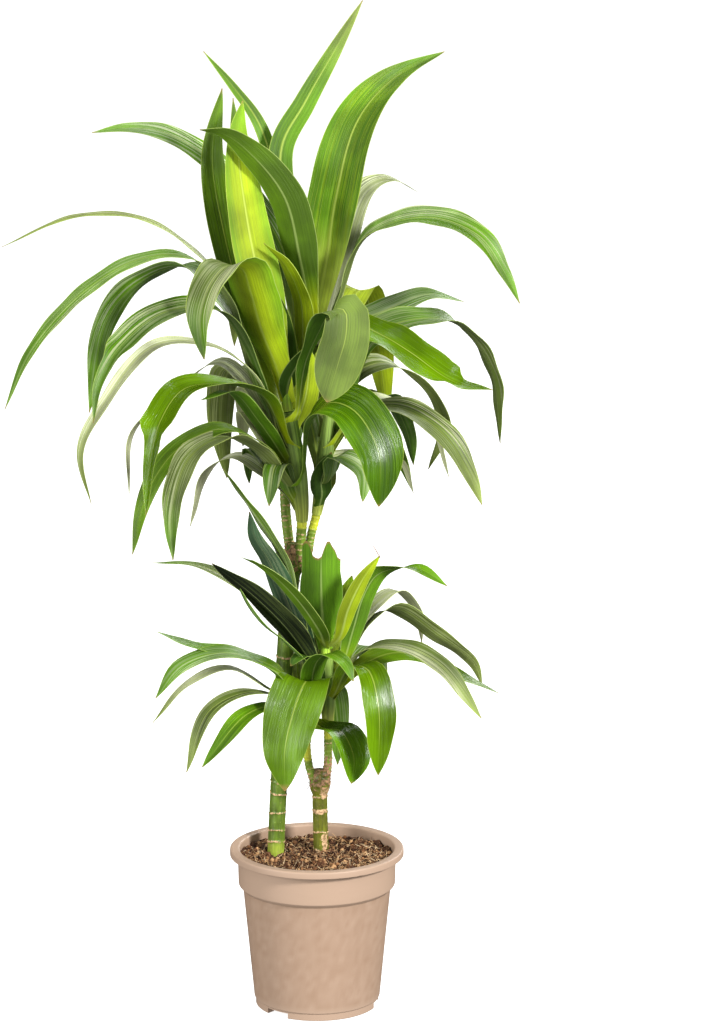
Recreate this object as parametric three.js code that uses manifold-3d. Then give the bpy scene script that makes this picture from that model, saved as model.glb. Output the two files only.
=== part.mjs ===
// A potted corn plant: two ringed canes in a nursery pot, five leafy shoots, three lime hearts.
// Millimetres, +Z up. The pot stands on z = 0 with its axis on the origin; -Y faces the viewer.
import * as THREE from "three";
import { mergeVertices } from "three/addons/utils/BufferGeometryUtils.js";
import Module from "manifold-3d";

const wasm = await Module();
wasm.setup();

// ---- pot
const RIM_RADIUS = 86;
const POT_HEIGHT = 160;
const LIP_DEPTH = 6.8; // the turned-out skirt hangs this far below the rim
const MOUTH_RADIUS = 76.2;
const COLLAR_RADIUS = 78.4;
const COLLAR_BOTTOM = 124; // height at which the wall steps in under the collar
const BODY_TOP_RADIUS = 73.2;
const BODY_FOOT_RADIUS = 62.4;
const BODY_FOOT = 8; // height of the body's lower edge, above the base ring
const RING_RADIUS = 61;
const RING_INNER = 52;
const BOSS_RADIUS = 18; // flat disc under the middle of the floor
const RECESS = 6; // the floor between boss and ring is raised by this much
const FLOOR_TOP = 9;
const WALL = 2.2;
const COLLAR_STEP = 4; // the step under the collar is this high
const COLLAR_DRAFT = 0.8; // the collar is this much narrower at its lower edge
const SKIRT = 2; // thickness of the turned-out skirt, and of the bevel round the rim
const RIM_ROOF = 3; // thickness of the rim over the hollow behind the skirt
const MOUTH_BEVEL = 1.5;
const FLOOR_BEVEL = 3;
const FOOT_BEVEL = 1; // the base ring meets the body in a slope this high
const INNER_STEP = 1; // the inside steps in this far above the outside
const POT_FACETS = 40;
const NOTCH_ANGLES = [230, 350, 110]; // drainage notches in the base ring, degrees from +X
const NOTCH_WIDTH = 26;
const NOTCH_HEIGHT = 5.6;
const CUT_DEPTH = 20; // cutters of notches and holes reach through any wall
const DRAIN_COUNT = 6;
const DRAIN_RADIUS = 4.5;
const DRAIN_CIRCLE = 36;
const DRAIN_FACETS = 12;

// ---- soil
const SOIL_TOP = 148; // height in the middle
const SOIL_RISE = 7; // the soil rises this much towards the wall
const BACK_DIP = 0.7; // share of the rise that is missing at the back
const SOIL_LUMP = 2.2;
const WIDE_LUMP = 0.8; // shares of broad and of small lumps
const FINE_LUMP = 0.7;
const WIDE_WAVE = { x: 17, y: 14, startX: 1.3, startY: -0.6 }; // millimetres to a radian, and phases
const FINE_WAVE = { x: 5.1, y: 7.3, crossX: 9.1, crossY: 4.3 };
const SOIL_RINGS = 8;
const SOIL_SPOKES = 32;
const SOIL_EDGE = 8; // the lumpy top ends and the plain side starts this far below the surface
const SOIL_CLEAR = 1; // the soil's corners keep this far from those of the pot's inside
const GAP = 0.3; // clearance between neighbouring pieces
const WALL_GAP = 1.4 * GAP; // more against the round wall, whose facets differ from the soil's

// ---- canes: path points, radius, heights of the ring scars
const CANE_FACETS = 10;
const STEM_FACETS = 8;
const SCAR_RISE = 0.8;
const SCAR_HALF = 2; // a scar fades out this far above and below its middle
const SHORT_END = 1; // a cane or core stops this far short of its path's end
const CANE_STEP = 40; // length of a plain stretch of cane
const STEM_STEP = 7; // distance between the fine rings of a bare stem
const STEM_RING = 0.35;
const SHEATH_STEP = 18;
const SHEATH_SWELL = 1.6; // how sharply a sheath narrows towards its ends
const AT_SCAR = 0.1; // a row this close to a scar's middle lies on it
const NEAREST = 0.6; // two rows of a tube lie at least this far apart
const CORE = { foot: 5.5, top: 2, clearance: 0.9, step: 10 }; // the stub that heart leaves grow from
const CANES = {
  tall_cane: {
    path: [[-42, 19, 85], [-41, 20, 147], [-36, 22, 253], [-31, 26, 354], [-25, 29, 424], [-18, 30, 462]],
    radius: 8.3,
    knob: { at: 448, radius: 12.5, reach: 16 },
    scars: [160, 172, 190, 210, 222, 246, 270, 297, 322, 348, 375, 402, 424],
  },
  short_cane: {
    path: [[6, 31, 85], [4, 30, 149], [3, 29, 190], [3, 28, 232]],
    radius: 7.5,
    knob: { at: 219, radius: 10.5, reach: 13 },
    scars: [149, 167, 189, 204],
  },
};

// ---- shoots: path points, radius of the bare stem, heights where the leaf sheath starts and ends,
// radii of the sheath at its foot, belly and top
const SHOOTS = {
  tall_left: {
    path: [[-25, 37, 446], [-29, 42, 475], [-31, 46, 505], [-29, 47, 545],
      [-19, 43, 600], [-5, 37, 655], [-1, 36, 685]],
    stem: 4.9,
    sheath: [524, 658],
    girth: [5.6, 8.5, 7],
  },
  tall_middle: {
    path: [[-17, 21, 444], [-15, 20, 470], [-14, 18, 492], [-18, 12, 534],
      [-24, 8, 575], [-28, 6, 604], [-29, 6, 630]],
    stem: 4.9,
    sheath: [486, 597],
    girth: [5.8, 9.5, 7.5],
  },
  tall_right: {
    path: [[-9, 34, 446], [-5, 33, 470], [0, 32, 490], [8, 30, 544], [13, 28, 592], [15, 28, 612]],
    stem: 4.2,
    sheath: [490, 604],
    girth: [5, 8, 3],
  },
  short_left: {
    path: [[-3, 25, 219], [-8, 23, 238], [-10, 20, 258], [-11, 13, 285], [-11, 6, 318]],
    stem: 3.9,
    sheath: [262, 314],
    girth: [4.6, 7.5, 3],
  },
  short_right: {
    path: [[9, 30, 219], [11, 28, 240], [11, 24, 262], [11, 19, 295],
      [11, 15, 330], [9, 13, 352], [8, 12, 374]],
    stem: 4,
    sheath: [278, 350],
    girth: [5.4, 7.5, 6.5],
  },
};

// ---- leaves
const BLADE = 0.95; // thickness
const FOLD = 0.3; // depth of the midrib channel, as a share of the half width
const FLATTENED = 0.5; // share of that depth lost by the tip
const BASE_WIDTH = 0.36; // width at the root, as a share of the widest part
const TIP_WIDTH = 2.2;
const TIP_TAPER = 2.4; // how late the blade starts to narrow towards its tip
const TIP_ROUND = 0.85;
const FLAT_UNDER = 33; // blades narrower than this have no channel
const WIDEST = 0.42; // where along the blade it is widest
const TAIL = 0.62; // width past a crease, as a share of what it would be
const CREASE_HALF = 0.03; // half of the stretch, as a share of the blade, over which a crease narrows it
const UNCREASED = 2; // a crease past the tip
const SEGMENT = 44; // length of one facet along the blade
const FEWEST = 4; // facets along a blade, at least and at most
const MOST = 8;
const ROOT_OUT = 5; // an outer leaf's root lies this far from the shoot's axis, inside the sheath
const COLLAR_OUT = 15; // an outer leaf stands off its shoot by this much
const COLLAR_UP = 15; // at this height above its root

// Each leaf: height of its root on the shoot, the compass direction it leans to (degrees from +X),
// width, roll about its midrib at root and tip (degrees), and the points its midrib runs through.
// Last come the few leaves' own traits: foot and blunt are the widths of a slender root and of a cut
// or broad end, as shares of the leaf's width; widest is where along the blade it is broadest; crease
// is where it narrows to a tail.
const HEARTS = {
  tall_left: [
    [668, 85, 24, 0, 20, [[-20, 50, 750], [-34, 65, 843], [-11, 76, 888], [18, 89, 938], [45, 99, 985]]],
    [668, 65, 56, 0, -10, [[10, 45, 735], [20, 55, 800], [40, 70, 870], [75, 85, 910], [125, 100, 935]]],
    [668, 235, 40, 0, 25, [[-15, 25, 740], [-30, 10, 805], [-60, 5, 845], [-85, 0, 865], [-110, 0, 870]]],
    [672, 110, 16, 0, 0, [[-30, 65, 780], [-55, 85, 865], [-80, 95, 900], [-110, 105, 935]]],
    [672, 75, 30, 0, 0, [[15, 80, 795], [30, 100, 875], [40, 110, 900]]],
  ],
  tall_middle: [
    [608, 110, 42, 0, 0, [[-50, 15, 705], [-65, 20, 775], [-75, 25, 860], [-70, 30, 895]]],
    [606, 235, 54, 0, 10,
      [[-38, -4, 641], [-52, -16, 680], [-62, -28, 719], [-70, -38, 743],
        [-84, -48, 746], [-97, -58, 733], [-105, -66, 715], [-108, -71, 697], [-104, -76, 662]]],
    [606, -60, 22, 0, 0, [[-25, -5, 630], [-5, -10, 665]]],
    [608, 80, 30, 0, 0, [[-32, 15, 650], [-38, 18, 712]]],
  ],
  short_right: [
    [358, -90, 42, 0, 0, [[5, 5, 410], [5, 0, 470]], { blunt: 0.9, widest: 0.5 }],
    [358, -70, 19, 0, 0,
      [[22, -2, 372], [31, -18, 405], [45, -26, 437], [62, -30, 462]], { widest: 0.5 }],
    [358, 232, 23, 0, 0,
      [[2, -28, 388], [-20, -44, 424], [-46, -54, 452], [-70, -62, 468]], { blunt: 0.42 }],
    [360, 60, 24, 0, 0, [[25, 30, 395], [35, 45, 425]]],
  ],
};
const LEAVES = {
  tall_left: [
    [640, 165, 28, -35, -45,
      [[-35, 70, 750], [-90, 90, 820], [-145, 100, 855], [-185, 110, 860], [-220, 110, 855]]],
    [640, 55, 30, 20, 20, [[25, 75, 745], [45, 95, 800], [70, 110, 810], [100, 120, 795]]],
    [626, -35, 36, 40, 12,
      [[25, 30, 705], [50, 20, 765], [105, 10, 785], [155, -5, 770], [180, -10, 735], [195, -10, 705]]],
    [625, 70, 34, 0, 0, [[30, 80, 685], [45, 105, 700], [60, 120, 645], [70, 130, 565]]],
    [618, 40, 30, 25, 25, [[35, 68, 672], [60, 84, 680], [110, 98, 697], [145, 108, 688]]],
    [632, -40, 42, 20, 15,
      [[32, 19, 680], [62, -6, 674], [92, -26, 659], [121, -40, 640], [138, -48, 633], [168, -56, 629]],
      { widest: 0.6, crease: 0.83 }],
    [636, 220, 26, 10, 0, [[-15, 15, 705], [-30, 10, 740], [-50, 10, 760]]],
    [570, -80, 26, 0, 0, [[-10, 20, 610], [-5, 20, 655]]],
    [600, 130, 38, 0, 0, [[-50, 85, 690], [-68, 125, 725], [-78, 165, 695], [-84, 190, 630]]],
    [575, 95, 36, 0, 0, [[-28, 85, 640], [-32, 130, 655], [-35, 170, 600], [-35, 185, 530]]],
  ],
  tall_middle: [
    [568, 160, 33, -10, -72, [[-65, 30, 675], [-88, 42, 760], [-100, 46, 840], [-90, 48, 905]]],
    [570, 120, 26, 0, 0, [[-58, 46, 700], [-76, 54, 815], [-80, 56, 895]]],
    [566, 190, 16, -10, -10,
      [[-85, 25, 710], [-125, 35, 755], [-170, 40, 780], [-235, 50, 780], [-305, 55, 750]]],
    [562, 212, 25, -6, -14,
      [[-62, 4, 630], [-84, 0, 705], [-118, -12, 748], [-165, -25, 750],
        [-220, -40, 720], [-270, -50, 665], [-295, -55, 610]]],
    [556, 140, 36, -10, 26,
      [[-75, 35, 680], [-125, 50, 730], [-170, 70, 715], [-205, 80, 675], [-225, 90, 580]]],
    [552, 222, 34, -15, -15,
      [[-70, -10, 665], [-95, -20, 700], [-145, -40, 700],
        [-185, -60, 670], [-205, -65, 635], [-210, -70, 600]], { widest: 0.55, crease: 0.8 }],
    [548, 212, 20, -12, -10,
      [[-60, -5, 635], [-105, -10, 665], [-155, -20, 665],
        [-200, -30, 615], [-225, -35, 565], [-215, -40, 515]]],
    [544, 145, 20, -10, -15,
      [[-70, 25, 625], [-95, 35, 640], [-135, 50, 610], [-180, 60, 565], [-185, 65, 500]]],
    [558, 225, 42, -5, -5,
      [[-50, -15, 615], [-85, -35, 630], [-125, -60, 630],
        [-145, -80, 605], [-155, -85, 570], [-160, -90, 515]], { crease: 0.72 }],
    [546, 110, 34, 0, 0, [[-60, 50, 615], [-85, 80, 625], [-95, 100, 580], [-90, 110, 510]]],
    [536, 120, 24, 0, 0, [[-55, 45, 605], [-70, 60, 610], [-75, 70, 575]]],
    [536, 225, 24, 20, 0, [[-55, -10, 590], [-80, -20, 620], [-110, -35, 615]]],
    [524, 140, 28, 0, 0, [[-58, 30, 580], [-68, 48, 588], [-72, 60, 552]]],
    [584, -60, 46, 10, 30,
      [[-10, -15, 646], [3, -26, 679], [16, -36, 702], [28, -43, 703],
        [29, -48, 681], [21, -51, 652], [11, -53, 617]], { widest: 0.8, foot: 0.12 }],
    [528, -52, 52, 60, 0,
      [[-5, -10, 585], [13, -32, 612], [38, -50, 607], [60, -65, 570], [60, -75, 520]], { widest: 0.66 }],
    [512, 218, 29, -10, -12,
      [[-50, -5, 565], [-90, -25, 585], [-130, -40, 570], [-160, -55, 530], [-175, -60, 470]]],
    [506, 232, 34, 0, 0,
      [[-60, -20, 565], [-90, -45, 580], [-120, -70, 565], [-135, -80, 520], [-135, -85, 470]]],
    [498, 140, 20, -10, -10, [[-52, 28, 533], [-78, 42, 545], [-105, 54, 530], [-125, 64, 470]]],
    [500, 140, 24, 0, 0, [[-52, 32, 545], [-64, 48, 552], [-66, 58, 515]]],
    [502, -115, 24, 0, 0, [[-35, 0, 545], [-40, -15, 545], [-45, -25, 510]]],
  ],
  tall_right: [
    [578, 50, 34, 20, 20, [[45, 34, 658], [90, 42, 680], [135, 52, 675], [170, 58, 630], [180, 58, 555]]],
    [570, 50, 32, 20, 15, [[30, 45, 620], [65, 60, 635], [105, 70, 610], [125, 80, 570], [110, 80, 525]]],
    [560, 35, 24, 15, 10, [[35, 40, 600], [70, 50, 600], [110, 60, 575], [130, 65, 520]]],
    [555, -35, 34, 12, 12,
      [[45, 15, 595], [80, 5, 600], [120, -10, 580], [145, -15, 545], [160, -20, 510]]],
    [545, 40, 26, 0, 0, [[35, 60, 580], [65, 80, 570], [95, 90, 500]]],
    [505, 35, 28, 10, 10, [[15, 40, 540], [50, 50, 545], [80, 55, 540], [95, 60, 505]]],
    [515, -45, 30, 10, 0, [[20, 15, 550], [45, 0, 540], [45, -5, 510]]],
    [558, 80, 34, 0, 0, [[18, 88, 632], [24, 130, 642], [28, 170, 595], [28, 185, 535]]],
    [565, 85, 38, 0, 0, [[10, 90, 655], [10, 140, 675], [10, 190, 625], [5, 215, 550]]],
    [540, 45, 34, 0, 0, [[42, 72, 590], [68, 98, 594], [88, 118, 560], [96, 126, 520]]],
    [525, 110, 34, 0, 0, [[-10, 90, 585], [-20, 130, 590], [-25, 165, 550], [-25, 180, 495]]],
    [498, -70, 22, 0, 0, [[5, 20, 525], [15, 15, 555]]],
  ],
  short_left: [
    [292, -100, 56, 0, 0,
      [[-5, -10, 325], [-10, -25, 335], [-20, -40, 315], [-30, -55, 275], [-30, -60, 235]]],
    [270, -50, 40, 0, 0,
      [[5, -10, 284], [24, -24, 284], [36, -34, 262], [34, -42, 237]], { widest: 0.6 }],
    [302, -58, 27, 0, 0, [[0, -22, 353], [12, -37, 366], [28, -50, 360], [36, -58, 344]]],
    [300, 195, 26, -12, -12, [[-35, -8, 340], [-75, -15, 360], [-120, -20, 370], [-155, -25, 385]]],
    [292, 215, 30, -12, -12, [[-45, -20, 345], [-85, -30, 365], [-130, -40, 355], [-155, -50, 325]]],
    [290, 200, 15, -8, -8, [[-50, -10, 325], [-85, -12, 345], [-125, -12, 330], [-160, -12, 290]]],
    [284, 230, 20, -5, -5, [[-45, -15, 320], [-75, -35, 325], [-105, -50, 310], [-125, -65, 255]]],
    [278, 235, 24, -5, -5, [[-45, -25, 310], [-70, -45, 305], [-110, -65, 260]]],
    [286, 95, 32, 0, 0, [[-15, 60, 335], [-20, 100, 335], [-20, 135, 285], [-20, 145, 230]]],
    [276, 75, 30, 0, 0, [[5, 60, 305], [15, 90, 295], [20, 115, 250], [20, 120, 210]]],
  ],
  short_right: [
    [326, 190, 25, 20, 20, [[-20, 0, 402], [-36, -8, 460], [-60, -12, 500], [-90, -18, 545]]],
    [318, 195, 32, 40, 40, [[-20, 0, 388], [-45, -4, 450], [-60, -4, 475], [-65, -4, 500]]],
    [324, 215, 34, 30, 20, [[-28, -12, 384], [-62, -32, 424], [-100, -55, 460]]],
    [320, 150, 18, -10, -10, [[-25, 50, 360], [-75, 80, 405], [-120, 90, 425], [-165, 100, 425]]],
    [318, 205, 17, 0, 0, [[-30, -10, 370], [-55, -25, 395], [-80, -30, 440]]],
    [328, -75, 24, 0, 0,
      [[36, 8, 379], [46, 6, 413], [59, 3, 435], [79, -1, 443], [101, -6, 443], [127, -13, 428]]],
    [322, 55, 19, 0, 0, [[45, 50, 380], [80, 85, 400], [100, 100, 375], [105, 110, 340]]],
    [316, 40, 25, -25, -30, [[50, 35, 375], [75, 50, 390], [120, 60, 360], [155, 70, 330], [165, 75, 305]]],
    [312, -45, 25, 12, 12, [[45, -5, 360], [80, -20, 370], [120, -35, 355], [160, -50, 305]]],
    [308, 25, 29, 20, 20, [[45, 20, 340], [80, 30, 350], [130, 40, 330], [180, 45, 305]]],
    [304, -65, 34, 0, 0,
      [[33, -12, 346], [50, -30, 348], [60, -48, 318], [60, -60, 251]], { widest: 0.6 }],
    [322, -120, 22, 0, 0, [[-8, -1, 354], [-19, -4, 354], [-25, -6, 346]]],
    [316, 90, 34, 0, 0, [[15, 65, 385], [20, 110, 395], [15, 150, 345], [15, 165, 285]]],
    [306, 60, 32, 0, 0, [[35, 60, 345], [50, 90, 340], [60, 120, 290], [65, 125, 245]]],
    [314, 120, 34, 0, 0, [[-10, 80, 385], [-20, 120, 385], [-20, 155, 330], [-25, 170, 275]]],
  ],
};

const WELD = 1e-4; // corners this close are one
const HALVINGS = 30; // steps of the search for a height on a path
const radians = THREE.MathUtils.degToRad;
const vector = (p) => new THREE.Vector3(...p);

function solid(geometry) {
  const bare = geometry.index ? geometry.clone() : geometry;
  bare.deleteAttribute("normal");
  bare.deleteAttribute("uv");
  const merged = mergeVertices(bare, WELD);
  return new wasm.Manifold(
    new wasm.Mesh({
      numProp: 3,
      vertProperties: merged.attributes.position.array,
      triVerts: new Uint32Array(merged.index.array),
    }),
  );
}

function geometryOf(points, faces) {
  const geometry = new THREE.BufferGeometry();
  geometry.setAttribute("position", new THREE.Float32BufferAttribute(points.flat(), 3));
  geometry.setIndex(faces.flat());
  return geometry;
}

// Closed skin over a row of loops that hold the same number of points, capped at both ends.
function loft(loops) {
  const count = loops[0].length;
  const faces = [];
  for (let i = 0; i + 1 < loops.length; i += 1) {
    for (let j = 0; j < count; j += 1) {
      const a = i * count + j;
      const b = i * count + ((j + 1) % count);
      // The upper face of a blade takes the other diagonal, so both its faces split alike.
      const mirrored = (count === 6 && (j === 3 || j === 4)) || (count === 4 && j === 2);
      if (mirrored) {
        faces.push([a, b, b + count], [a, b + count, a + count]);
      } else {
        faces.push([a, b, a + count], [b, b + count, a + count]);
      }
    }
  }
  const last = (loops.length - 1) * count;
  if (count === 6) {
    for (const [a, b, c] of [[0, 4, 1], [0, 5, 4], [1, 3, 2], [1, 4, 3]]) {
      faces.push([a, b, c], [last + a, last + c, last + b]);
    }
  } else {
    for (let j = 1; j + 1 < count; j += 1) {
      faces.push([0, j + 1, j], [last, last + j, last + j + 1]);
    }
  }
  return solid(geometryOf(loops.flat(), faces));
}

const pathOf = (points) => new THREE.CatmullRomCurve3(points.map(vector), false, "centripetal");

// Share of a rising path's length at which it reaches a height.
function shareAt(path, height) {
  let low = 0;
  let high = 1;
  for (let i = 0; i < HALVINGS; i += 1) {
    const middle = (low + high) / 2;
    if (path.getPointAt(middle).z < height) {
      low = middle;
    } else {
      high = middle;
    }
  }
  return (low + high) / 2;
}

// Round tube along a path between two heights; radius is a function of height.
function tube(path, from, to, radius, facets, step, stops = []) {
  const heights = new Set(stops.filter((h) => h > from && h < to));
  const count = Math.max(2, Math.ceil((to - from) / step));
  for (let i = 0; i <= count; i += 1) {
    heights.add(from + ((to - from) * i) / count);
  }
  const loops = [...heights]
    .sort((a, b) => a - b)
    .filter((h, i, all) => i === 0 || h - all[i - 1] > NEAREST || stops.includes(h))
    .map((h) => {
      const share = shareAt(path, h);
      const centre = path.getPointAt(share);
      const along = path.getTangentAt(share);
      const side = new THREE.Vector3(1, 0, 0).addScaledVector(along, -along.x).normalize();
      const other = along.clone().cross(side);
      return Array.from({ length: facets }, (_, j) => {
        const turn = (2 * Math.PI * j) / facets;
        const point = centre.clone();
        point.addScaledVector(side, radius(h) * Math.cos(turn));
        point.addScaledVector(other, radius(h) * Math.sin(turn));
        return point.toArray();
      });
    });
  return loft(loops);
}

function lathe(profile) {
  const geometry = new THREE.LatheGeometry(profile.map(([r, z]) => new THREE.Vector2(r, z)), POT_FACETS);
  return solid(geometry.rotateX(Math.PI / 2));
}

const union = (solids) => solids.reduce((all, one) => all.add(one));

// A union whose sealed pockets, left where blades overlap near their roots, are filled.
function joined(solids) {
  const shells = union(solids).decompose();
  return shells.reduce((largest, shell) => (shell.volume() > largest.volume() ? shell : largest));
}

// ---- pot
const bodyTop = COLLAR_BOTTOM - COLLAR_STEP;
const bodySlope = (BODY_TOP_RADIUS - BODY_FOOT_RADIUS) / (bodyTop - BODY_FOOT);
const bodyRadius = (z) => BODY_FOOT_RADIUS + bodySlope * (z - BODY_FOOT);
const innerRadius = (z) => (z > COLLAR_BOTTOM ? MOUTH_RADIUS : bodyRadius(z) - WALL);
function makePot() {
  const lipBottom = POT_HEIGHT - LIP_DEPTH;
  const roof = POT_HEIGHT - RIM_ROOF;
  const shell = lathe([
    [0, 0],
    [BOSS_RADIUS, 0],
    [BOSS_RADIUS, RECESS],
    [RING_INNER, RECESS],
    [RING_INNER, 0],
    [RING_RADIUS, 0],
    [RING_RADIUS, BODY_FOOT - FOOT_BEVEL],
    [BODY_FOOT_RADIUS, BODY_FOOT],
    [bodyRadius(bodyTop), bodyTop],
    [COLLAR_RADIUS - COLLAR_DRAFT, COLLAR_BOTTOM],
    [COLLAR_RADIUS, roof],
    [RIM_RADIUS - SKIRT, roof],
    [RIM_RADIUS - SKIRT, lipBottom],
    [RIM_RADIUS, lipBottom],
    [RIM_RADIUS, POT_HEIGHT - SKIRT],
    [RIM_RADIUS - SKIRT, POT_HEIGHT],
    [MOUTH_RADIUS + MOUTH_BEVEL, POT_HEIGHT],
    [MOUTH_RADIUS, POT_HEIGHT - MOUTH_BEVEL],
    [MOUTH_RADIUS, COLLAR_BOTTOM + INNER_STEP],
    [innerRadius(bodyTop), bodyTop],
    [innerRadius(FLOOR_TOP + FLOOR_BEVEL), FLOOR_TOP + FLOOR_BEVEL],
    [innerRadius(FLOOR_TOP) - FLOOR_BEVEL, FLOOR_TOP],
    [0, FLOOR_TOP],
  ]);
  const cuts = [];
  for (const angle of NOTCH_ANGLES) {
    const notch = new THREE.BoxGeometry(CUT_DEPTH, NOTCH_WIDTH, 2 * NOTCH_HEIGHT);
    notch.translate((RING_RADIUS + RING_INNER) / 2, 0, 0).rotateZ(radians(angle));
    cuts.push(solid(notch));
  }
  for (let i = 0; i < DRAIN_COUNT; i += 1) {
    const drain = new THREE.CylinderGeometry(DRAIN_RADIUS, DRAIN_RADIUS, CUT_DEPTH, DRAIN_FACETS);
    const angle = (2 * Math.PI * (i + 0.5)) / DRAIN_COUNT;
    drain.rotateX(Math.PI / 2);
    drain.translate(DRAIN_CIRCLE * Math.cos(angle), DRAIN_CIRCLE * Math.sin(angle), FLOOR_TOP);
    cuts.push(solid(drain));
  }
  return cuts.reduce((pot, cut) => pot.subtract(cut), shell);
}

// ---- soil: fills the pot, with a lumpy top
function soilHeight(x, y) {
  const { startX, startY } = WIDE_WAVE;
  const { crossX, crossY } = FINE_WAVE;
  const wide = Math.sin(x / WIDE_WAVE.x + startX) * Math.cos(y / WIDE_WAVE.y + startY);
  const fine = Math.sin(x / FINE_WAVE.x + y / FINE_WAVE.y) * Math.cos(y / crossY - x / crossX);
  const rise = SOIL_RISE * (Math.hypot(x, y) / MOUTH_RADIUS) ** 2;
  const level = SOIL_TOP + rise * (1 - BACK_DIP * Math.max(0, y / MOUTH_RADIUS));
  return level + SOIL_LUMP * (WIDE_LUMP * wide + FINE_LUMP * fine);
}

function makeSoil() {
  const points = [[0, 0, soilHeight(0, 0)]];
  const faces = [];
  const walls = [
    SOIL_TOP - SOIL_EDGE,
    COLLAR_BOTTOM + INNER_STEP + SOIL_CLEAR,
    bodyTop + 2 * GAP,
    FLOOR_TOP + FLOOR_BEVEL + SOIL_CLEAR,
  ];
  const rows = [];
  for (let i = 1; i <= SOIL_RINGS; i += 1) {
    rows.push((angle) => {
      const r = ((MOUTH_RADIUS - GAP) * i) / SOIL_RINGS;
      const x = r * Math.cos(angle);
      const y = r * Math.sin(angle);
      return [x, y, soilHeight(x, y)];
    });
  }
  for (const z of walls) {
    const r = innerRadius(z) - WALL_GAP;
    rows.push((angle) => [r * Math.cos(angle), r * Math.sin(angle), z]);
  }
  const foot = innerRadius(FLOOR_TOP) - FLOOR_BEVEL - SOIL_CLEAR;
  rows.push((angle) => [foot * Math.cos(angle), foot * Math.sin(angle), FLOOR_TOP + GAP]);
  rows.forEach((row, i) => {
    for (let j = 0; j < SOIL_SPOKES; j += 1) {
      const next = (j + 1) % SOIL_SPOKES;
      points.push(row((2 * Math.PI * j) / SOIL_SPOKES));
      const outer = 1 + i * SOIL_SPOKES;
      const inner = outer - SOIL_SPOKES;
      if (i === 0) {
        faces.push([0, outer + j, outer + next]);
      } else {
        faces.push([inner + j, outer + j, outer + next], [inner + j, outer + next, inner + next]);
      }
    }
  });
  const bottom = points.length;
  const rim = bottom - SOIL_SPOKES;
  points.push([0, 0, FLOOR_TOP + GAP]);
  for (let j = 0; j < SOIL_SPOKES; j += 1) {
    faces.push([bottom, rim + ((j + 1) % SOIL_SPOKES), rim + j]);
  }
  return solid(geometryOf(points, faces));
}

// ---- canes
function caneRadius(cane, extra) {
  return (z) => {
    const near = Math.min(...cane.scars.map((scar) => Math.abs(scar - z)));
    const scar = near < AT_SCAR ? SCAR_RISE : 0;
    const far = Math.min(1, Math.abs(z - cane.knob.at) / cane.knob.reach);
    const knob = (cane.knob.radius - cane.radius) * (1 - far * far);
    return cane.radius + scar + knob + extra;
  };
}

function makeCane(cane, extra = 0) {
  const path = pathOf(cane.path);
  const top = cane.path.at(-1)[2] - SHORT_END;
  const knob = [-1, -0.5, 0].map((share) => cane.knob.at + share * cane.knob.reach);
  const stops = [...cane.scars.flatMap((z) => [z - SCAR_HALF, z, z + SCAR_HALF]), ...knob];
  return tube(path, cane.path[0][2] - extra, top, caneRadius(cane, extra), CANE_FACETS, CANE_STEP, stops);
}

// ---- shoots: a bare stem, then the sheath from which the leaves spring
function makeStem(shoot, extra = 0) {
  const from = shoot.path[0][2] - extra;
  const to = shoot.sheath[0] - GAP;
  const rows = Math.ceil((to - from) / STEM_STEP);
  const ring = (z) => (Math.round((rows * (z - from)) / (to - from)) % 2 === 0 ? STEM_RING : 0);
  const radius = (z) => shoot.stem + (extra > 0 ? extra + STEM_RING : ring(z));
  return tube(pathOf(shoot.path), from, to, radius, STEM_FACETS, STEM_STEP);
}

function makeSheath(shoot) {
  const [from, to] = shoot.sheath;
  const [foot, belly, top] = shoot.girth;
  const radius = (z) => {
    const share = (z - from) / (to - from);
    const edge = share < 0.5 ? foot : top;
    return belly + (edge - belly) * Math.abs(2 * share - 1) ** SHEATH_SWELL;
  };
  return tube(pathOf(shoot.path), from, to, radius, STEM_FACETS, SHEATH_STEP);
}

function makeCore(shoot) {
  const from = shoot.sheath[1] + CORE.clearance;
  const to = shoot.path.at(-1)[2] - SHORT_END;
  const radius = (z) => THREE.MathUtils.mapLinear(z, from, to, CORE.foot, CORE.top);
  return tube(pathOf(shoot.path), from, to, radius, STEM_FACETS, CORE.step);
}

// ---- blades: a channelled leaf, six points to a section, that arches along its midrib
function bladeWidth(share, width, traits) {
  const { foot = BASE_WIDTH, widest = WIDEST, blunt = 0, crease = UNCREASED } = traits;
  const rise = THREE.MathUtils.smoothstep(share, 0, widest);
  const past = Math.max(0, (share - widest) / (1 - widest));
  const outline = (foot + (1 - foot) * rise) * (1 - past ** TIP_TAPER) ** TIP_ROUND;
  const creased = THREE.MathUtils.smoothstep(share, crease - CREASE_HALF, crease + CREASE_HALF);
  const narrowed = width * (1 - (1 - TAIL) * creased);
  return Math.max(TIP_WIDTH, narrowed * Math.max(outline, past > 0 ? blunt : 0));
}

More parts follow.
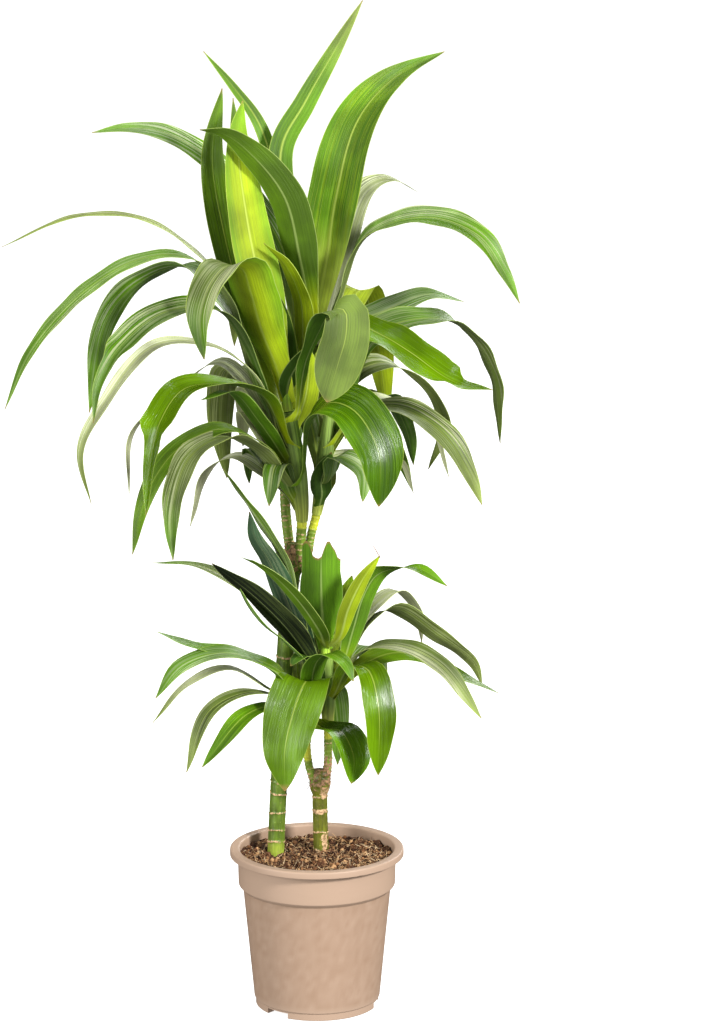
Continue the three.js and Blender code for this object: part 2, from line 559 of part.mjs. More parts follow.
function makeBlade(shoot, leaf, collared) {
  const [root, lean, width, rollRoot, rollTip, points, traits = {}] = leaf;
  const axis = pathOf(shoot.path);
  const core = axis.getPointAt(shareAt(axis, root));
  const away = new THREE.Vector3(Math.cos(radians(lean)), Math.sin(radians(lean)), 0);
  const first = vector(points[0]).sub(core).setZ(0).normalize();
  const stops = [core.clone().addScaledVector(first, collared ? ROOT_OUT : 0)];
  if (collared) {
    stops.push(core.clone().addScaledVector(first, COLLAR_OUT).add(new THREE.Vector3(0, 0, COLLAR_UP)));
  }
  stops.push(...points.map(vector));
  const curve = new THREE.CatmullRomCurve3(stops, false, "centripetal");
  const count = THREE.MathUtils.clamp(Math.round(curve.getLength() / SEGMENT), FEWEST, MOST);
  const level = new THREE.Vector3(-away.y, away.x, 0);
  const loops = [];
  for (let i = 0; i <= count; i += 1) {
    const share = i / count;
    const centre = curve.getPointAt(share);
    const along = curve.getTangentAt(share);
    const side = level.clone().addScaledVector(along, -along.dot(level)).normalize();
    side.applyAxisAngle(along, radians(rollRoot + (rollTip - rollRoot) * share));
    const up = along.clone().cross(side);
    const half = bladeWidth(share, width, traits) / 2;
    const channel = half * FOLD * (1 - FLATTENED * share);
    const at = (across, lift) => {
      const point = centre.clone().addScaledVector(side, across);
      return point.addScaledVector(up, lift).toArray();
    };
    if (width < FLAT_UNDER) {
      loops.push([at(-half, 0), at(half, 0), at(half, BLADE), at(-half, BLADE)]);
    } else {
      const lower = [at(-half, channel), at(0, 0), at(half, channel)];
      loops.push([...lower, at(half, channel + BLADE), at(0, BLADE), at(-half, channel + BLADE)]);
    }
  }
  return loft(loops);
}

// ---- assembly
const FINISHES = {
  pot: { color: 0xcdac91, roughness: 0.6, metalness: 0 },
  soil: { color: 0x4b3222, roughness: 1, metalness: 0 },
  cane: { color: 0x7f9440, roughness: 0.8, metalness: 0 },
  shoot: { color: 0x9bb33a, roughness: 0.6, metalness: 0 },
  leaf: { color: 0x3c7a1e, roughness: 0.45, metalness: 0 },
  heart: { color: 0x8cc21c, roughness: 0.45, metalness: 0 },
};
const group = new THREE.Group();
function place(name, made, finish) {
  const mesh = made.getMesh();
  const geometry = new THREE.BufferGeometry();
  geometry.setAttribute("position", new THREE.BufferAttribute(mesh.vertProperties, 3));
  geometry.setIndex(new THREE.BufferAttribute(mesh.triVerts, 1));
  geometry.computeVertexNormals();
  const placed = new THREE.Mesh(geometry, new THREE.MeshStandardMaterial(finish));
  placed.name = name;
  group.add(placed);
}

place("pot", makePot(), FINISHES.pot);
const sockets = union(Object.values(CANES).map((cane) => makeCane(cane, GAP)));
place("soil", makeSoil().subtract(sockets), FINISHES.soil);
const stemHoles = union(Object.values(SHOOTS).map((shoot) => makeStem(shoot, GAP)));
for (const [name, cane] of Object.entries(CANES)) {
  place(name, makeCane(cane).subtract(stemHoles), FINISHES.cane);
}
for (const [name, shoot] of Object.entries(SHOOTS)) {
  place(`${name}_shoot`, makeStem(shoot), FINISHES.shoot);
  const blades = LEAVES[name].map((leaf) => makeBlade(shoot, leaf, true));
  place(`${name}_leaves`, joined([makeSheath(shoot), ...blades]), FINISHES.leaf);
  if (HEARTS[name]) {
    const young = HEARTS[name].map((leaf) => makeBlade(shoot, leaf, false));
    place(`${name}_heart`, joined([makeCore(shoot), ...young]), FINISHES.heart);
  }
}

export default group;
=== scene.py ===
import math
import random

import bmesh
import bpy
import numpy as np
from mathutils import Matrix, Vector, noise


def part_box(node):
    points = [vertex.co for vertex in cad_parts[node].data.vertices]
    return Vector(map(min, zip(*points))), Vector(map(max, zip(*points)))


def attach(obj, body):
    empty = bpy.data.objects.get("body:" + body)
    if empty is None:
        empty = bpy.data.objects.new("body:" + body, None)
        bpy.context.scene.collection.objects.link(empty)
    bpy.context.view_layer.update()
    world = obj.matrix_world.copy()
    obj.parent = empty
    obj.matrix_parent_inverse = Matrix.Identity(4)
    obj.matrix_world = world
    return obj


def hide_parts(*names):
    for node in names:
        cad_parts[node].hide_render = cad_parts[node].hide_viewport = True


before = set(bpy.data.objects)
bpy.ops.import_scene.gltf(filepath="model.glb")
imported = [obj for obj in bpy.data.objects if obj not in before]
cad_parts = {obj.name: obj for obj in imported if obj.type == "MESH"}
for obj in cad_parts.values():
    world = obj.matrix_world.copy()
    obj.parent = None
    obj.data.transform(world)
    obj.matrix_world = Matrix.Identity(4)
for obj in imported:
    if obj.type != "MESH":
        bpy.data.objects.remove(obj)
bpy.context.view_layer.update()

# The looks of a potted corn plant. Tables of sizes and points are in millimetres, as the solids
# were drawn, and MM turns them into the frame's metres. -Y faces the viewer.
MM = 0.001
PI = math.pi
SEED = 7
rng = random.Random(SEED)


# ---- camera and light
IMAGE_HEIGHT = 1024
FOCAL_PIXELS = 3792  # measured on the photograph, which shows the pot's two ellipses
SENSOR_HEIGHT = 24
CAMERA_PITCH = 12.09  # degrees below the horizon
CAMERA_PLACE = (0.0358, -3.6, 1.27)
WORLD_LIGHT = 0.62
FLOOR_GLOW = 0.86
FLOOR_GREY = (0.44, 0.46)
FLOOR_REACH = 30
WHITE = (1, 1, 1, 1)
LIT_MIDDLE = (0, 0, 0.55)
SOFTBOXES = {  # place, size and power of each
    "key": ((2.6, -2.7, 2.3), 0.7, 262),
    "fill": ((-3.0, -2.6, 1.3), 2.0, 125),
    "top": ((-0.8, 0.6, 4.2), 1.2, 70),
    "back": ((1.6, 3.4, 2.2), 1.8, 80),
}


# ---- sizes taken from the frame, in millimetres
def node_top(node):
    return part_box(node)[1].z / MM


POT_HEIGHT = node_top("pot")
RIM_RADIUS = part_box("pot")[1].x / MM
SOIL_TOP = 148  # height in the middle
SOIL_RISE = 7  # the soil rises this much towards the wall
BACK_DIP = 0.7  # share of the rise that is missing at the back

# ---- pot
LIP_DEPTH = 6.8
LIP_SKIRT = 2  # thickness of the lip's skirt, which hangs outside a groove
LIP_ROOT = 3  # thickness of the lip over that groove
LIP_RAGGED = 0.5  # the lip's lower edge is uneven by this much
MOUTH_RADIUS = RIM_RADIUS - 9.8
COLLAR_RADIUS = RIM_RADIUS - 7.6
COLLAR_BOTTOM = 124
COLLAR_STEP = 4
COLLAR_DRAFT = 0.8
BODY_TOP_RADIUS = 73.2
BODY_FOOT_RADIUS = 62.4
BODY_FOOT = 8
FOOT_BEVEL = 1
RING_RADIUS = 61
RING_INNER = 52
BOSS_RADIUS = 18
RECESS = 6
FLOOR_TOP = 9
WALL = 2.2
POT_SIDES = 144
RING_STEP = 6  # distance between the rings of points on a long wall
ARC_POINTS = 6  # points on the arc of a rounded edge
ARC_SHARE = 0.48  # the most that an arc takes of the walls beside it
POT_SHARP = 40  # edges that turn by more degrees than this stay crisp
NOTCH_ANGLES = (230, 350, 110)
NOTCH_WIDTH = 26
NOTCH_HEIGHT = 5.6
DRAIN_COUNT = 6
DRAIN_RADIUS = 4.5
DRAIN_CIRCLE = 36
DRAIN_SIDES = 32
CUT_DEPTH = 20
INNER_DARKENING = 0.6  # how much darker the inner wall gets towards the soil

# ---- soil
SOIL_LUMP = 2.2
WIDE_LUMP = 0.8  # shares of broad and of small lumps
FINE_LUMP = 0.7
WIDE_WAVE = {"x": 17, "y": 14, "start_x": 1.3, "start_y": -0.6}
FINE_WAVE = {"x": 5.1, "y": 7.3, "cross_x": 9.1, "cross_y": 4.3}
CLOD = 9
CLOD_RISE = 3.4
CLOD_LEVEL = 0.55
GRAIN = 2.2
GRAIN_RISE = 0.8
SOIL_CLEAR = 0.5  # gap between the soil and the wall
SOIL_RINGS = 84
SOIL_SPOKES = 220
CRUMB_COUNT = 1500
CRUMB_SHADES = ("4c2e1c", "6c482e", "8c6442", "b48c62", "30190e")
FIBRE_COUNT = 1500
FIBRE_SHADES = ("c8a274", "b08a5e", "8f6a46", "dcc096", "64452e")
CANE_CLEAR = 10.5  # crumbs and fibres keep this far from a cane's axis

# ---- canes and shoots
TUBE_SIDES = 40
TURNS = np.arange(TUBE_SIDES) * 2 * PI / TUBE_SIDES
ROW_STEP = 0.9
STEM_ROW_STEP = 0.6
ROOT_SHADES = ("2c1a10", "4c301c", "6c4828", "8c6844")
ROOT_COUNTS = {"tall_cane": 80, "short_cane": 16}

# Each cane: its path, its radius, the knob at its fork (height, radius, half its length), the heights
# of its ring scars, and patches of bark (bottom, top, the way they face, half their angle). The skin
# turns lime below one height and is torn bark above another.
CANES = {
    "tall_cane": {
        "path": [(-42, 19, 85), (-41, 20, 147), (-36, 22, 253),
                 (-31, 26, 354), (-25, 29, 424), (-18, 30, 462)],
        "radius": 8.3,
        "knob": (448, 12.5, 16),
        "scars": (160, 172, 190, 210, 222, 246, 270, 297, 322, 348, 375, 402, 424),
        "patches": [],
        "skin": "5a7220",
        "lime_below": 160,
        "bark_above": 432,
    },
    "short_cane": {
        "path": [(6, 31, 85), (4, 30, 149), (3, 29, 190), (3, 28, 232)],
        "radius": 7.5,
        "knob": (219, 10.5, 13),
        "scars": (149, 167, 189, 204),
        "patches": [(150, 166, -55, 26), (187, 192, -90, 70), (203, 214, -55, 34)],
        "skin": "62661a",
        "lime_below": 0,
        "bark_above": 210,
    },
}

# Each shoot: its path, the radius of its bare stem, the lowest and the highest of its leaf bases, the
# radius of those bases at their foot, middle and top, and the lengths of the lime collar under them
# and of the bark at the stem's foot.
SHOOTS = {
    "tall_left": {
        "path": [(-25, 37, 446), (-29, 42, 475), (-31, 46, 505), (-29, 47, 545),
                 (-19, 43, 600), (-5, 37, 655), (-1, 36, 685)],
        "stem": 4.9, "sheath": (524, 658), "girth": (5.6, 8.5, 7), "collar": 0, "bark": 15,
    },
    "tall_middle": {
        "path": [(-17, 21, 444), (-15, 20, 470), (-14, 18, 492), (-18, 12, 534),
                 (-24, 8, 575), (-28, 6, 604), (-29, 6, 630)],
        "stem": 4.9, "sheath": (486, 597), "girth": (5.8, 9.5, 7.5), "collar": 8, "bark": 12,
    },
    "tall_right": {
        "path": [(-9, 34, 446), (-5, 33, 470), (0, 32, 490), (8, 30, 544), (13, 28, 592), (15, 28, 612)],
        "stem": 4.2, "sheath": (490, 604), "girth": (5, 8, 3), "collar": 16, "bark": 14,
    },
    "short_left": {
        "path": [(-3, 25, 219), (-8, 23, 238), (-10, 20, 258), (-11, 13, 285), (-11, 6, 318)],
        "stem": 3.9, "sheath": (262, 314), "girth": (4.6, 7.5, 3), "collar": 20, "bark": 9,
    },
    "short_right": {
        "path": [(9, 30, 219), (11, 28, 240), (11, 24, 262), (11, 19, 295),
                 (11, 15, 330), (9, 13, 352), (8, 12, 374)],
        "stem": 4, "sheath": (278, 350), "girth": (5.4, 7.5, 6.5), "collar": 14, "bark": 38,
    },
}

# ---- leaves
BLADE = 0.95  # the solid's blade, whose middle layer the leaf keeps to
THIN = 0.5  # thickness of the leaf shown
FOLD = 0.3
BASE_WIDTH = 0.36
TIP_WIDTH = 1.1
TIP_TAPER = 2.4
TIP_ROUND = 0.85
WIDEST = 0.42
TAIL = 0.62  # width past a crease, as a share of what it would be
CREASE_HALF = 0.03
UNCREASED = 2  # a crease past the tip
FLAT_UNDER = 33  # narrower blades have a shallow channel
SHALLOW = 0.45
CHANNEL_POWER = 1.3  # the blade's sides are a little hollow
ROOT_OUT = 5
COLLAR_OUT = 15
COLLAR_UP = 15
ACROSS = 7  # cells on each side of the midrib
LEAF_ROW = 6.5  # length of one cell along the blade
ROW_CROWDING = 1.15  # the cells are shorter towards the tip
CLASP = 26  # the leaf's foot wraps its shoot over this length
CLASP_WIDTH = 0.6  # the foot's width there, as a share of the leaf's
CLASP_CLEAR = 0.8
MOST_WRAP = 2.6  # radians that one side of the foot can wrap round
WAVE_LENGTHS = (42, 75)
WAVE_SWELL = 0.04  # height of the waves along the edge, as a share of the width
YOUNG_SWELL = 0.015
BITE_AT = -0.2  # column of the notch in the bitten leaf, from -1 to 1 across the blade
BITE_DEPTH = 0.15
BITE_HALF = 0.36
SHOULDER_DROP = 0.2
CUT_SLANT = 0.03
YOUNG_CORE = (5.5, 4.5, 2)
DRY_HAIRS = {"short_right": [((62, -30, 460), (-0.45, 0, 0.9), 14)]}  # start, direction, length
LIT_HALF_TONE = 0.2  # painted light and shade: one half of a leaf is painted lighter than the other by this share, as its fold turns that half to the light
GREEN_EDGED_ABOVE = ("lime",)
GREEN_EDGED_BELOW = ("band",)
STREAKED_FROM = 0.4  # looks with stronger stripes have most of them on their painted lit half, as their pale stripes are partly painted sheen
DRY_TIP = (0.982, 0.8)  # share of the blade from which its end is dry, and how dry
DRY_ENDS = {"hanging": (0.955, 1.0), "bitten": (0.985, 1.0)}

# Each leaf: its look, height of its root on the shoot, the compass direction it leans to (degrees from
# +X), width, roll about its midrib at root and tip (degrees), and the points its midrib runs through.
# Last come a few leaves' own traits: foot and blunt are the widths of a slender root and of a cut or
# broad end, as shares of the leaf's width; widest is where along the blade it is broadest; crease is
# where it narrows to a tail.
HEARTS = {
    "tall_left": [
        ("spear", 668, 85, 24, 0, 20,
         [(-20, 50, 750), (-34, 65, 843), (-11, 76, 888), (18, 89, 938), (45, 99, 985)]),
        ("fresh", 668, 65, 56, 0, -10,
         [(10, 45, 735), (20, 55, 800), (40, 70, 870), (75, 85, 910), (125, 100, 935)]),
        ("front", 668, 235, 40, 0, 25,
         [(-15, 25, 740), (-30, 10, 805), (-60, 5, 845), (-85, 0, 865), (-110, 0, 870)]),
        ("lance", 672, 110, 16, 0, 0, [(-30, 65, 780), (-55, 85, 865), (-80, 95, 900), (-110, 105, 935)]),
        ("lance", 672, 75, 30, 0, 0, [(15, 80, 795), (30, 100, 875), (40, 110, 900)]),
    ],
    "tall_middle": [
        ("lime", 608, 110, 42, 0, 0, [(-50, 15, 705), (-65, 20, 775), (-75, 25, 860), (-70, 30, 895)]),
        ("band", 606, 235, 54, 0, 10,
         [(-38, -4, 641), (-52, -16, 680), (-62, -28, 719), (-70, -38, 743), (-84, -48, 746),
          (-97, -58, 733), (-105, -66, 715), (-108, -71, 697), (-104, -76, 662)]),
        ("shade", 606, -60, 22, 0, 0, [(-25, -5, 630), (-5, -10, 665)]),
        ("shade", 608, 80, 30, 0, 0, [(-32, 15, 650), (-38, 18, 712)]),
    ],
    "short_right": [
        ("bitten", 358, -90, 42, 0, 0, [(5, 5, 410), (5, 0, 470)], {"blunt": 0.9, "widest": 0.5}),
        ("lime_spike", 358, -70, 19, 0, 0,
         [(22, -2, 372), (31, -18, 405), (45, -26, 437), (62, -30, 462)], {"widest": 0.5}),
        ("cut", 358, 232, 23, 0, 0,
         [(2, -28, 388), (-20, -44, 424), (-46, -54, 452), (-70, -62, 468)], {"blunt": 0.42}),
        ("lime_spike", 360, 60, 24, 0, 0, [(25, 30, 395), (35, 45, 425)]),
    ],
}
LEAVES = {
    "tall_left": [
        ("plain", 640, 165, 28, -35, -45,
         [(-35, 70, 750), (-90, 90, 820), (-145, 100, 855), (-185, 110, 860), (-220, 110, 855)]),
        ("ash", 640, 55, 30, 20, 20, [(25, 75, 745), (45, 95, 800), (70, 110, 810), (100, 120, 795)]),
        ("arch", 626, -35, 36, 40, 12,
         [(25, 30, 705), (50, 20, 765), (105, 10, 785), (155, -5, 770), (180, -10, 735), (195, -10, 705)]),
        ("backlit", 625, 70, 34, 0, 0, [(30, 80, 685), (45, 105, 700), (60, 120, 645), (70, 130, 565)]),
        ("plain", 618, 40, 30, 25, 25, [(35, 68, 672), (60, 84, 680), (110, 98, 697), (145, 108, 688)]),
        ("gloss", 632, -40, 42, 20, 15,
         [(32, 19, 680), (62, -6, 674), (92, -26, 659),
          (121, -40, 640), (138, -48, 633), (168, -56, 629)], {"widest": 0.6, "crease": 0.83}),
        ("backlit", 636, 220, 26, 10, 0, [(-15, 15, 705), (-30, 10, 740), (-50, 10, 760)]),
        ("backlit", 570, -80, 26, 0, 0, [(-10, 20, 610), (-5, 20, 655)]),
        ("grey", 600, 130, 38, 0, 0, [(-50, 85, 690), (-68, 125, 725), (-78, 165, 695), (-84, 190, 630)]),
        ("dark", 575, 95, 36, 0, 0, [(-28, 85, 640), (-32, 130, 655), (-35, 170, 600), (-35, 185, 530)]),
    ],
    "tall_middle": [
        ("deep", 568, 160, 33, -10, -72, [(-65, 30, 675), (-88, 42, 760), (-100, 46, 840), (-90, 48, 905)]),
        ("deep", 570, 120, 26, 0, 0, [(-58, 46, 700), (-76, 54, 815), (-80, 56, 895)]),
        ("thin", 566, 190, 16, -10, -10,
         [(-85, 25, 710), (-125, 35, 755), (-170, 40, 780), (-235, 50, 780), (-305, 55, 750)]),
        ("arch", 562, 212, 25, -6, -14,
         [(-62, 4, 630), (-84, 0, 705), (-118, -12, 748), (-165, -25, 750),
          (-220, -40, 720), (-270, -50, 665), (-295, -55, 610)]),
        ("plain", 556, 140, 36, -10, 26,
         [(-75, 35, 680), (-125, 50, 730), (-170, 70, 715), (-205, 80, 675), (-225, 90, 580)]),
        ("pleated", 552, 222, 34, -15, -15,
         [(-70, -10, 665), (-95, -20, 700), (-145, -40, 700),
          (-185, -60, 670), (-205, -65, 635), (-210, -70, 600)], {"widest": 0.55, "crease": 0.8}),
        ("pale", 548, 212, 20, -12, -10,
         [(-60, -5, 635), (-105, -10, 665), (-155, -20, 665),
          (-200, -30, 615), (-225, -35, 565), (-215, -40, 515)]),
        ("ash", 544, 145, 20, -10, -15,
         [(-70, 25, 625), (-95, 35, 640), (-135, 50, 610), (-180, 60, 565), (-185, 65, 500)]),
        ("gloss", 558, 225, 42, -5, -5,
         [(-50, -15, 615), (-85, -35, 630), (-125, -60, 630),
          (-145, -80, 605), (-155, -85, 570), (-160, -90, 515)], {"crease": 0.72}),
        ("grey", 546, 110, 34, 0, 0, [(-60, 50, 615), (-85, 80, 625), (-95, 100, 580), (-90, 110, 510)]),
        ("pale", 536, 120, 24, 0, 0, [(-55, 45, 605), (-70, 60, 610), (-75, 70, 575)]),
        ("leaf", 536, 225, 24, 20, 0, [(-55, -10, 590), (-80, -20, 620), (-110, -35, 615)]),
        ("pale", 524, 140, 28, 0, 0, [(-58, 30, 580), (-68, 48, 588), (-72, 60, 552)]),
        ("olive", 584, -60, 46, 10, 30,
         [(-10, -15, 646), (3, -26, 679), (16, -36, 702), (28, -43, 703),
          (29, -48, 681), (21, -51, 652), (11, -53, 617)], {"widest": 0.8, "foot": 0.12}),
        ("white_streak", 528, -52, 52, 60, 0,
         [(-5, -10, 585), (13, -32, 612), (38, -50, 607),
          (60, -65, 570), (60, -75, 520)], {"widest": 0.66}),
        ("deep", 512, 218, 29, -10, -12,
         [(-50, -5, 565), (-90, -25, 585), (-130, -40, 570), (-160, -55, 530), (-175, -60, 470)]),
        ("grey", 506, 232, 34, 0, 0,
         [(-60, -20, 565), (-90, -45, 580), (-120, -70, 565), (-135, -80, 520), (-135, -85, 470)]),
        ("ash", 498, 140, 20, -10, -10, [(-52, 28, 533), (-78, 42, 545), (-105, 54, 530), (-125, 64, 470)]),
        ("dark", 500, 140, 24, 0, 0, [(-52, 32, 545), (-64, 48, 552), (-66, 58, 515)]),
        ("dark", 502, -115, 24, 0, 0, [(-35, 0, 545), (-40, -15, 545), (-45, -25, 510)]),
    ],
    "tall_right": [
        ("arch", 578, 50, 34, 20, 20,
         [(45, 34, 658), (90, 42, 680), (135, 52, 675), (170, 58, 630), (180, 58, 555)]),
        ("grey", 570, 50, 32, 20, 15,
         [(30, 45, 620), (65, 60, 635), (105, 70, 610), (125, 80, 570), (110, 80, 525)]),
        ("pale", 560, 35, 24, 15, 10, [(35, 40, 600), (70, 50, 600), (110, 60, 575), (130, 65, 520)]),
        ("two_tone", 555, -35, 34, 12, 12,
         [(45, 15, 595), (80, 5, 600), (120, -10, 580), (145, -15, 545), (160, -20, 510)]),
        ("deep", 545, 40, 26, 0, 0, [(35, 60, 580), (65, 80, 570), (95, 90, 500)]),
        ("pale", 505, 35, 28, 10, 10, [(15, 40, 540), (50, 50, 545), (80, 55, 540), (95, 60, 505)]),
        ("plain", 515, -45, 30, 10, 0, [(20, 15, 550), (45, 0, 540), (45, -5, 510)]),
        ("backlit", 558, 80, 34, 0, 0, [(18, 88, 632), (24, 130, 642), (28, 170, 595), (28, 185, 535)]),
        ("grey", 565, 85, 38, 0, 0, [(10, 90, 655), (10, 140, 675), (10, 190, 625), (5, 215, 550)]),
        ("dark", 540, 45, 34, 0, 0, [(42, 72, 590), (68, 98, 594), (88, 118, 560), (96, 126, 520)]),
        ("plain", 525, 110, 34, 0, 0, [(-10, 90, 585), (-20, 130, 590), (-25, 165, 550), (-25, 180, 495)]),
        ("shade", 498, -70, 22, 0, 0, [(5, 20, 525), (15, 15, 555)]),
    ],
    "short_left": [
        ("hanging", 292, -100, 56, 0, 0,
         [(-5, -10, 325), (-10, -25, 335), (-20, -40, 315), (-30, -55, 275), (-30, -60, 235)]),
        ("round", 270, -50, 40, 0, 0,
         [(5, -10, 284), (24, -24, 284), (36, -34, 262), (34, -42, 237)], {"widest": 0.6}),
        ("leaf", 302, -58, 27, 0, 0, [(0, -22, 353), (12, -37, 366), (28, -50, 360), (36, -58, 344)]),
        ("leaf", 300, 195, 26, -12, -12,
         [(-35, -8, 340), (-75, -15, 360), (-120, -20, 370), (-155, -25, 385)]),
        ("plain", 292, 215, 30, -12, -12,
         [(-45, -20, 345), (-85, -30, 365), (-130, -40, 355), (-155, -50, 325)]),
        ("pale", 290, 200, 15, -8, -8,
         [(-50, -10, 325), (-85, -12, 345), (-125, -12, 330), (-160, -12, 290)]),
        ("two_tone", 284, 230, 20, -5, -5,
         [(-45, -15, 320), (-75, -35, 325), (-105, -50, 310), (-125, -65, 255)]),
        ("leaf", 278, 235, 24, -5, -5, [(-45, -25, 310), (-70, -45, 305), (-110, -65, 260)]),
        ("dark", 286, 95, 32, 0, 0, [(-15, 60, 335), (-20, 100, 335), (-20, 135, 285), (-20, 145, 230)]),
        ("plain", 276, 75, 30, 0, 0, [(5, 60, 305), (15, 90, 295), (20, 115, 250), (20, 120, 210)]),
    ],
    "short_right": [
        ("striped", 326, 190, 25, 20, 20,
         [(-20, 0, 402), (-36, -8, 460), (-60, -12, 500), (-90, -18, 545)]),
        ("blue", 318, 195, 32, 40, 40, [(-20, 0, 388), (-45, -4, 450), (-60, -4, 475), (-65, -4, 500)]),
        ("black", 324, 215, 34, 30, 20, [(-28, -12, 384), (-62, -32, 424), (-100, -55, 460)]),
        ("grey", 320, 150, 18, -10, -10,
         [(-25, 50, 360), (-75, 80, 405), (-120, 90, 425), (-165, 100, 425)]),
        ("plain", 318, 205, 17, 0, 0, [(-30, -10, 370), (-55, -25, 395), (-80, -30, 440)]),
        ("leaf", 328, -75, 24, 0, 0,
         [(36, 8, 379), (46, 6, 413), (59, 3, 435), (79, -1, 443), (101, -6, 443), (127, -13, 428)]),
        ("pale", 322, 55, 19, 0, 0, [(45, 50, 380), (80, 85, 400), (100, 100, 375), (105, 110, 340)]),
        ("two_tone", 316, 40, 25, -25, -30,
         [(50, 35, 375), (75, 50, 390), (120, 60, 360), (155, 70, 330), (165, 75, 305)]),
        ("two_tone", 312, -45, 25, 12, 12,
         [(45, -5, 360), (80, -20, 370), (120, -35, 355), (160, -50, 305)]),
        ("deep", 308, 25, 29, 20, 20, [(45, 20, 340), (80, 30, 350), (130, 40, 330), (180, 45, 305)]),
        ("gloss", 304, -65, 34, 0, 0,
         [(33, -12, 346), (50, -30, 348), (60, -48, 318), (60, -60, 251)], {"widest": 0.6}),
        ("shade", 322, -120, 22, 0, 0, [(-8, -1, 354), (-19, -4, 354), (-25, -6, 346)]),
        ("dark", 316, 90, 34, 0, 0, [(15, 65, 385), (20, 110, 395), (15, 150, 345), (15, 165, 285)]),
        ("plain", 306, 60, 32, 0, 0, [(35, 60, 345), (50, 90, 340), (60, 120, 290), (65, 125, 245)]),
        ("grey", 314, 120, 34, 0, 0, [(-10, 80, 385), (-20, 120, 385), (-20, 155, 330), (-25, 170, 275)]),
    ],
}

# ---- colours: full greens from dark to pale, then greyed ones, which stand partly for the leaves' own grey-green and undersides and partly for painted sheen where light glances off them
INK = "101c06"
DEEP = "385a02"
GRASS = "4c6c02"
LEAF = "4c7402"
FRESH = "6a9204"
SPRING = "8ea202"
LIME = "a2ae02"
BRIGHT = "b8cc20"
PALE_LIME = "ccdc54"
OLIVE = "566824"
MOSS = "6e7e34"
GREY_GREEN = "9aa272"
SILVER = "b2b68c"
CHALK = "d6d8bc"
BLUE_GREEN = "40603e"

RIB_TONE = "c8d860"
RIB_TONE_UNDER = "c4d684"

# Each look: colours of foot, blade, tip, stripes and underside, strength of the stripes, roughness.
LOOKS = {
    "spear": (SPRING, LEAF, MOSS, FRESH, LEAF, 0.3, 0.54),
    "fresh": (PALE_LIME, LEAF, LEAF, SPRING, FRESH, 0.3, 0.46),
    "front": (LIME, GRASS, FRESH, FRESH, GRASS, 0.2, 0.42),
    "lance": (BRIGHT, LEAF, LEAF, FRESH, LEAF, 0.35, 0.54),
    "lime": (LIME, SPRING, FRESH, LIME, LIME, 0.2, 0.62),
    "band": (BRIGHT, OLIVE, LEAF, SILVER, SPRING, 0.8, 0.42),
    "bitten": (FRESH, LEAF, GRASS, FRESH, LEAF, 0.25, 0.5),
    "lime_spike": (PALE_LIME, SPRING, FRESH, BRIGHT, SPRING, 0.35, 0.58),
    "cut": (SPRING, GRASS, GRASS, LEAF, GRASS, 0.25, 0.42),
    "shade": (GRASS, DEEP, DEEP, LEAF, DEEP, 0.3, 0.58),
    "dark": (SPRING, DEEP, LEAF, SILVER, LEAF, 0.4, 0.42),
    "deep": (SPRING, GRASS, GRASS, FRESH, GRASS, 0.35, 0.42),
    "leaf": (SPRING, LEAF, LEAF, FRESH, LEAF, 0.3, 0.42),
    "grey": (MOSS, OLIVE, LEAF, SILVER, MOSS, 0.6, 0.54),
    "arch": (LEAF, LEAF, LEAF, SILVER, OLIVE, 0.6, 0.46),
    "plain": (MOSS, LEAF, LEAF, CHALK, LEAF, 0.5, 0.46),
    "pleated": (OLIVE, DEEP, LEAF, SILVER, DEEP, 0.55, 0.34),
    "pale": (SPRING, GREY_GREEN, MOSS, CHALK, SILVER, 0.5, 0.58),
    "thin": (MOSS, MOSS, MOSS, SILVER, OLIVE, 0.4, 0.58),
    "gloss": (SPRING, GRASS, GRASS, FRESH, GRASS, 0.25, 0.2),
    "backlit": (BRIGHT, SPRING, LEAF, BRIGHT, SPRING, 0.35, 0.62),
    "two_tone": (SPRING, OLIVE, MOSS, SILVER, MOSS, 0.75, 0.5),
    "olive": (BRIGHT, OLIVE, OLIVE, LEAF, LEAF, 0.15, 0.62),
    "white_streak": (FRESH, DEEP, DEEP, FRESH, DEEP, 0.35, 0.24),
    "hanging": (SPRING, GRASS, GRASS, FRESH, GRASS, 0.25, 0.32),
    "round": (BRIGHT, LEAF, LEAF, FRESH, LEAF, 0.25, 0.24),
    "striped": (SILVER, LEAF, FRESH, CHALK, FRESH, 1.0, 0.54),
    "blue": (MOSS, BLUE_GREEN, BLUE_GREEN, SILVER, BLUE_GREEN, 0.4, 0.5),
    "ash": (SILVER, GREY_GREEN, MOSS, CHALK, SILVER, 0.8, 0.58),
    "black": (DEEP, INK, INK, MOSS, INK, 0.35, 0.54),
}


def linear(code):
    """Scene-linear red, green and blue of a colour written as six hexadecimal digits."""
    shares = [int(code[i:i + 2], 16) / 255 for i in (0, 2, 4)]
    return np.array([s / 12.92 if s <= 0.04045 else ((s + 0.055) / 1.055) ** 2.4 for s in shares])


def smooth(low, high, value):
    share = np.clip((value - low) / (high - low), 0, 1)
    return share * share * (3 - 2 * share)


def blend(first, second, share):
    return first + (second - first) * share


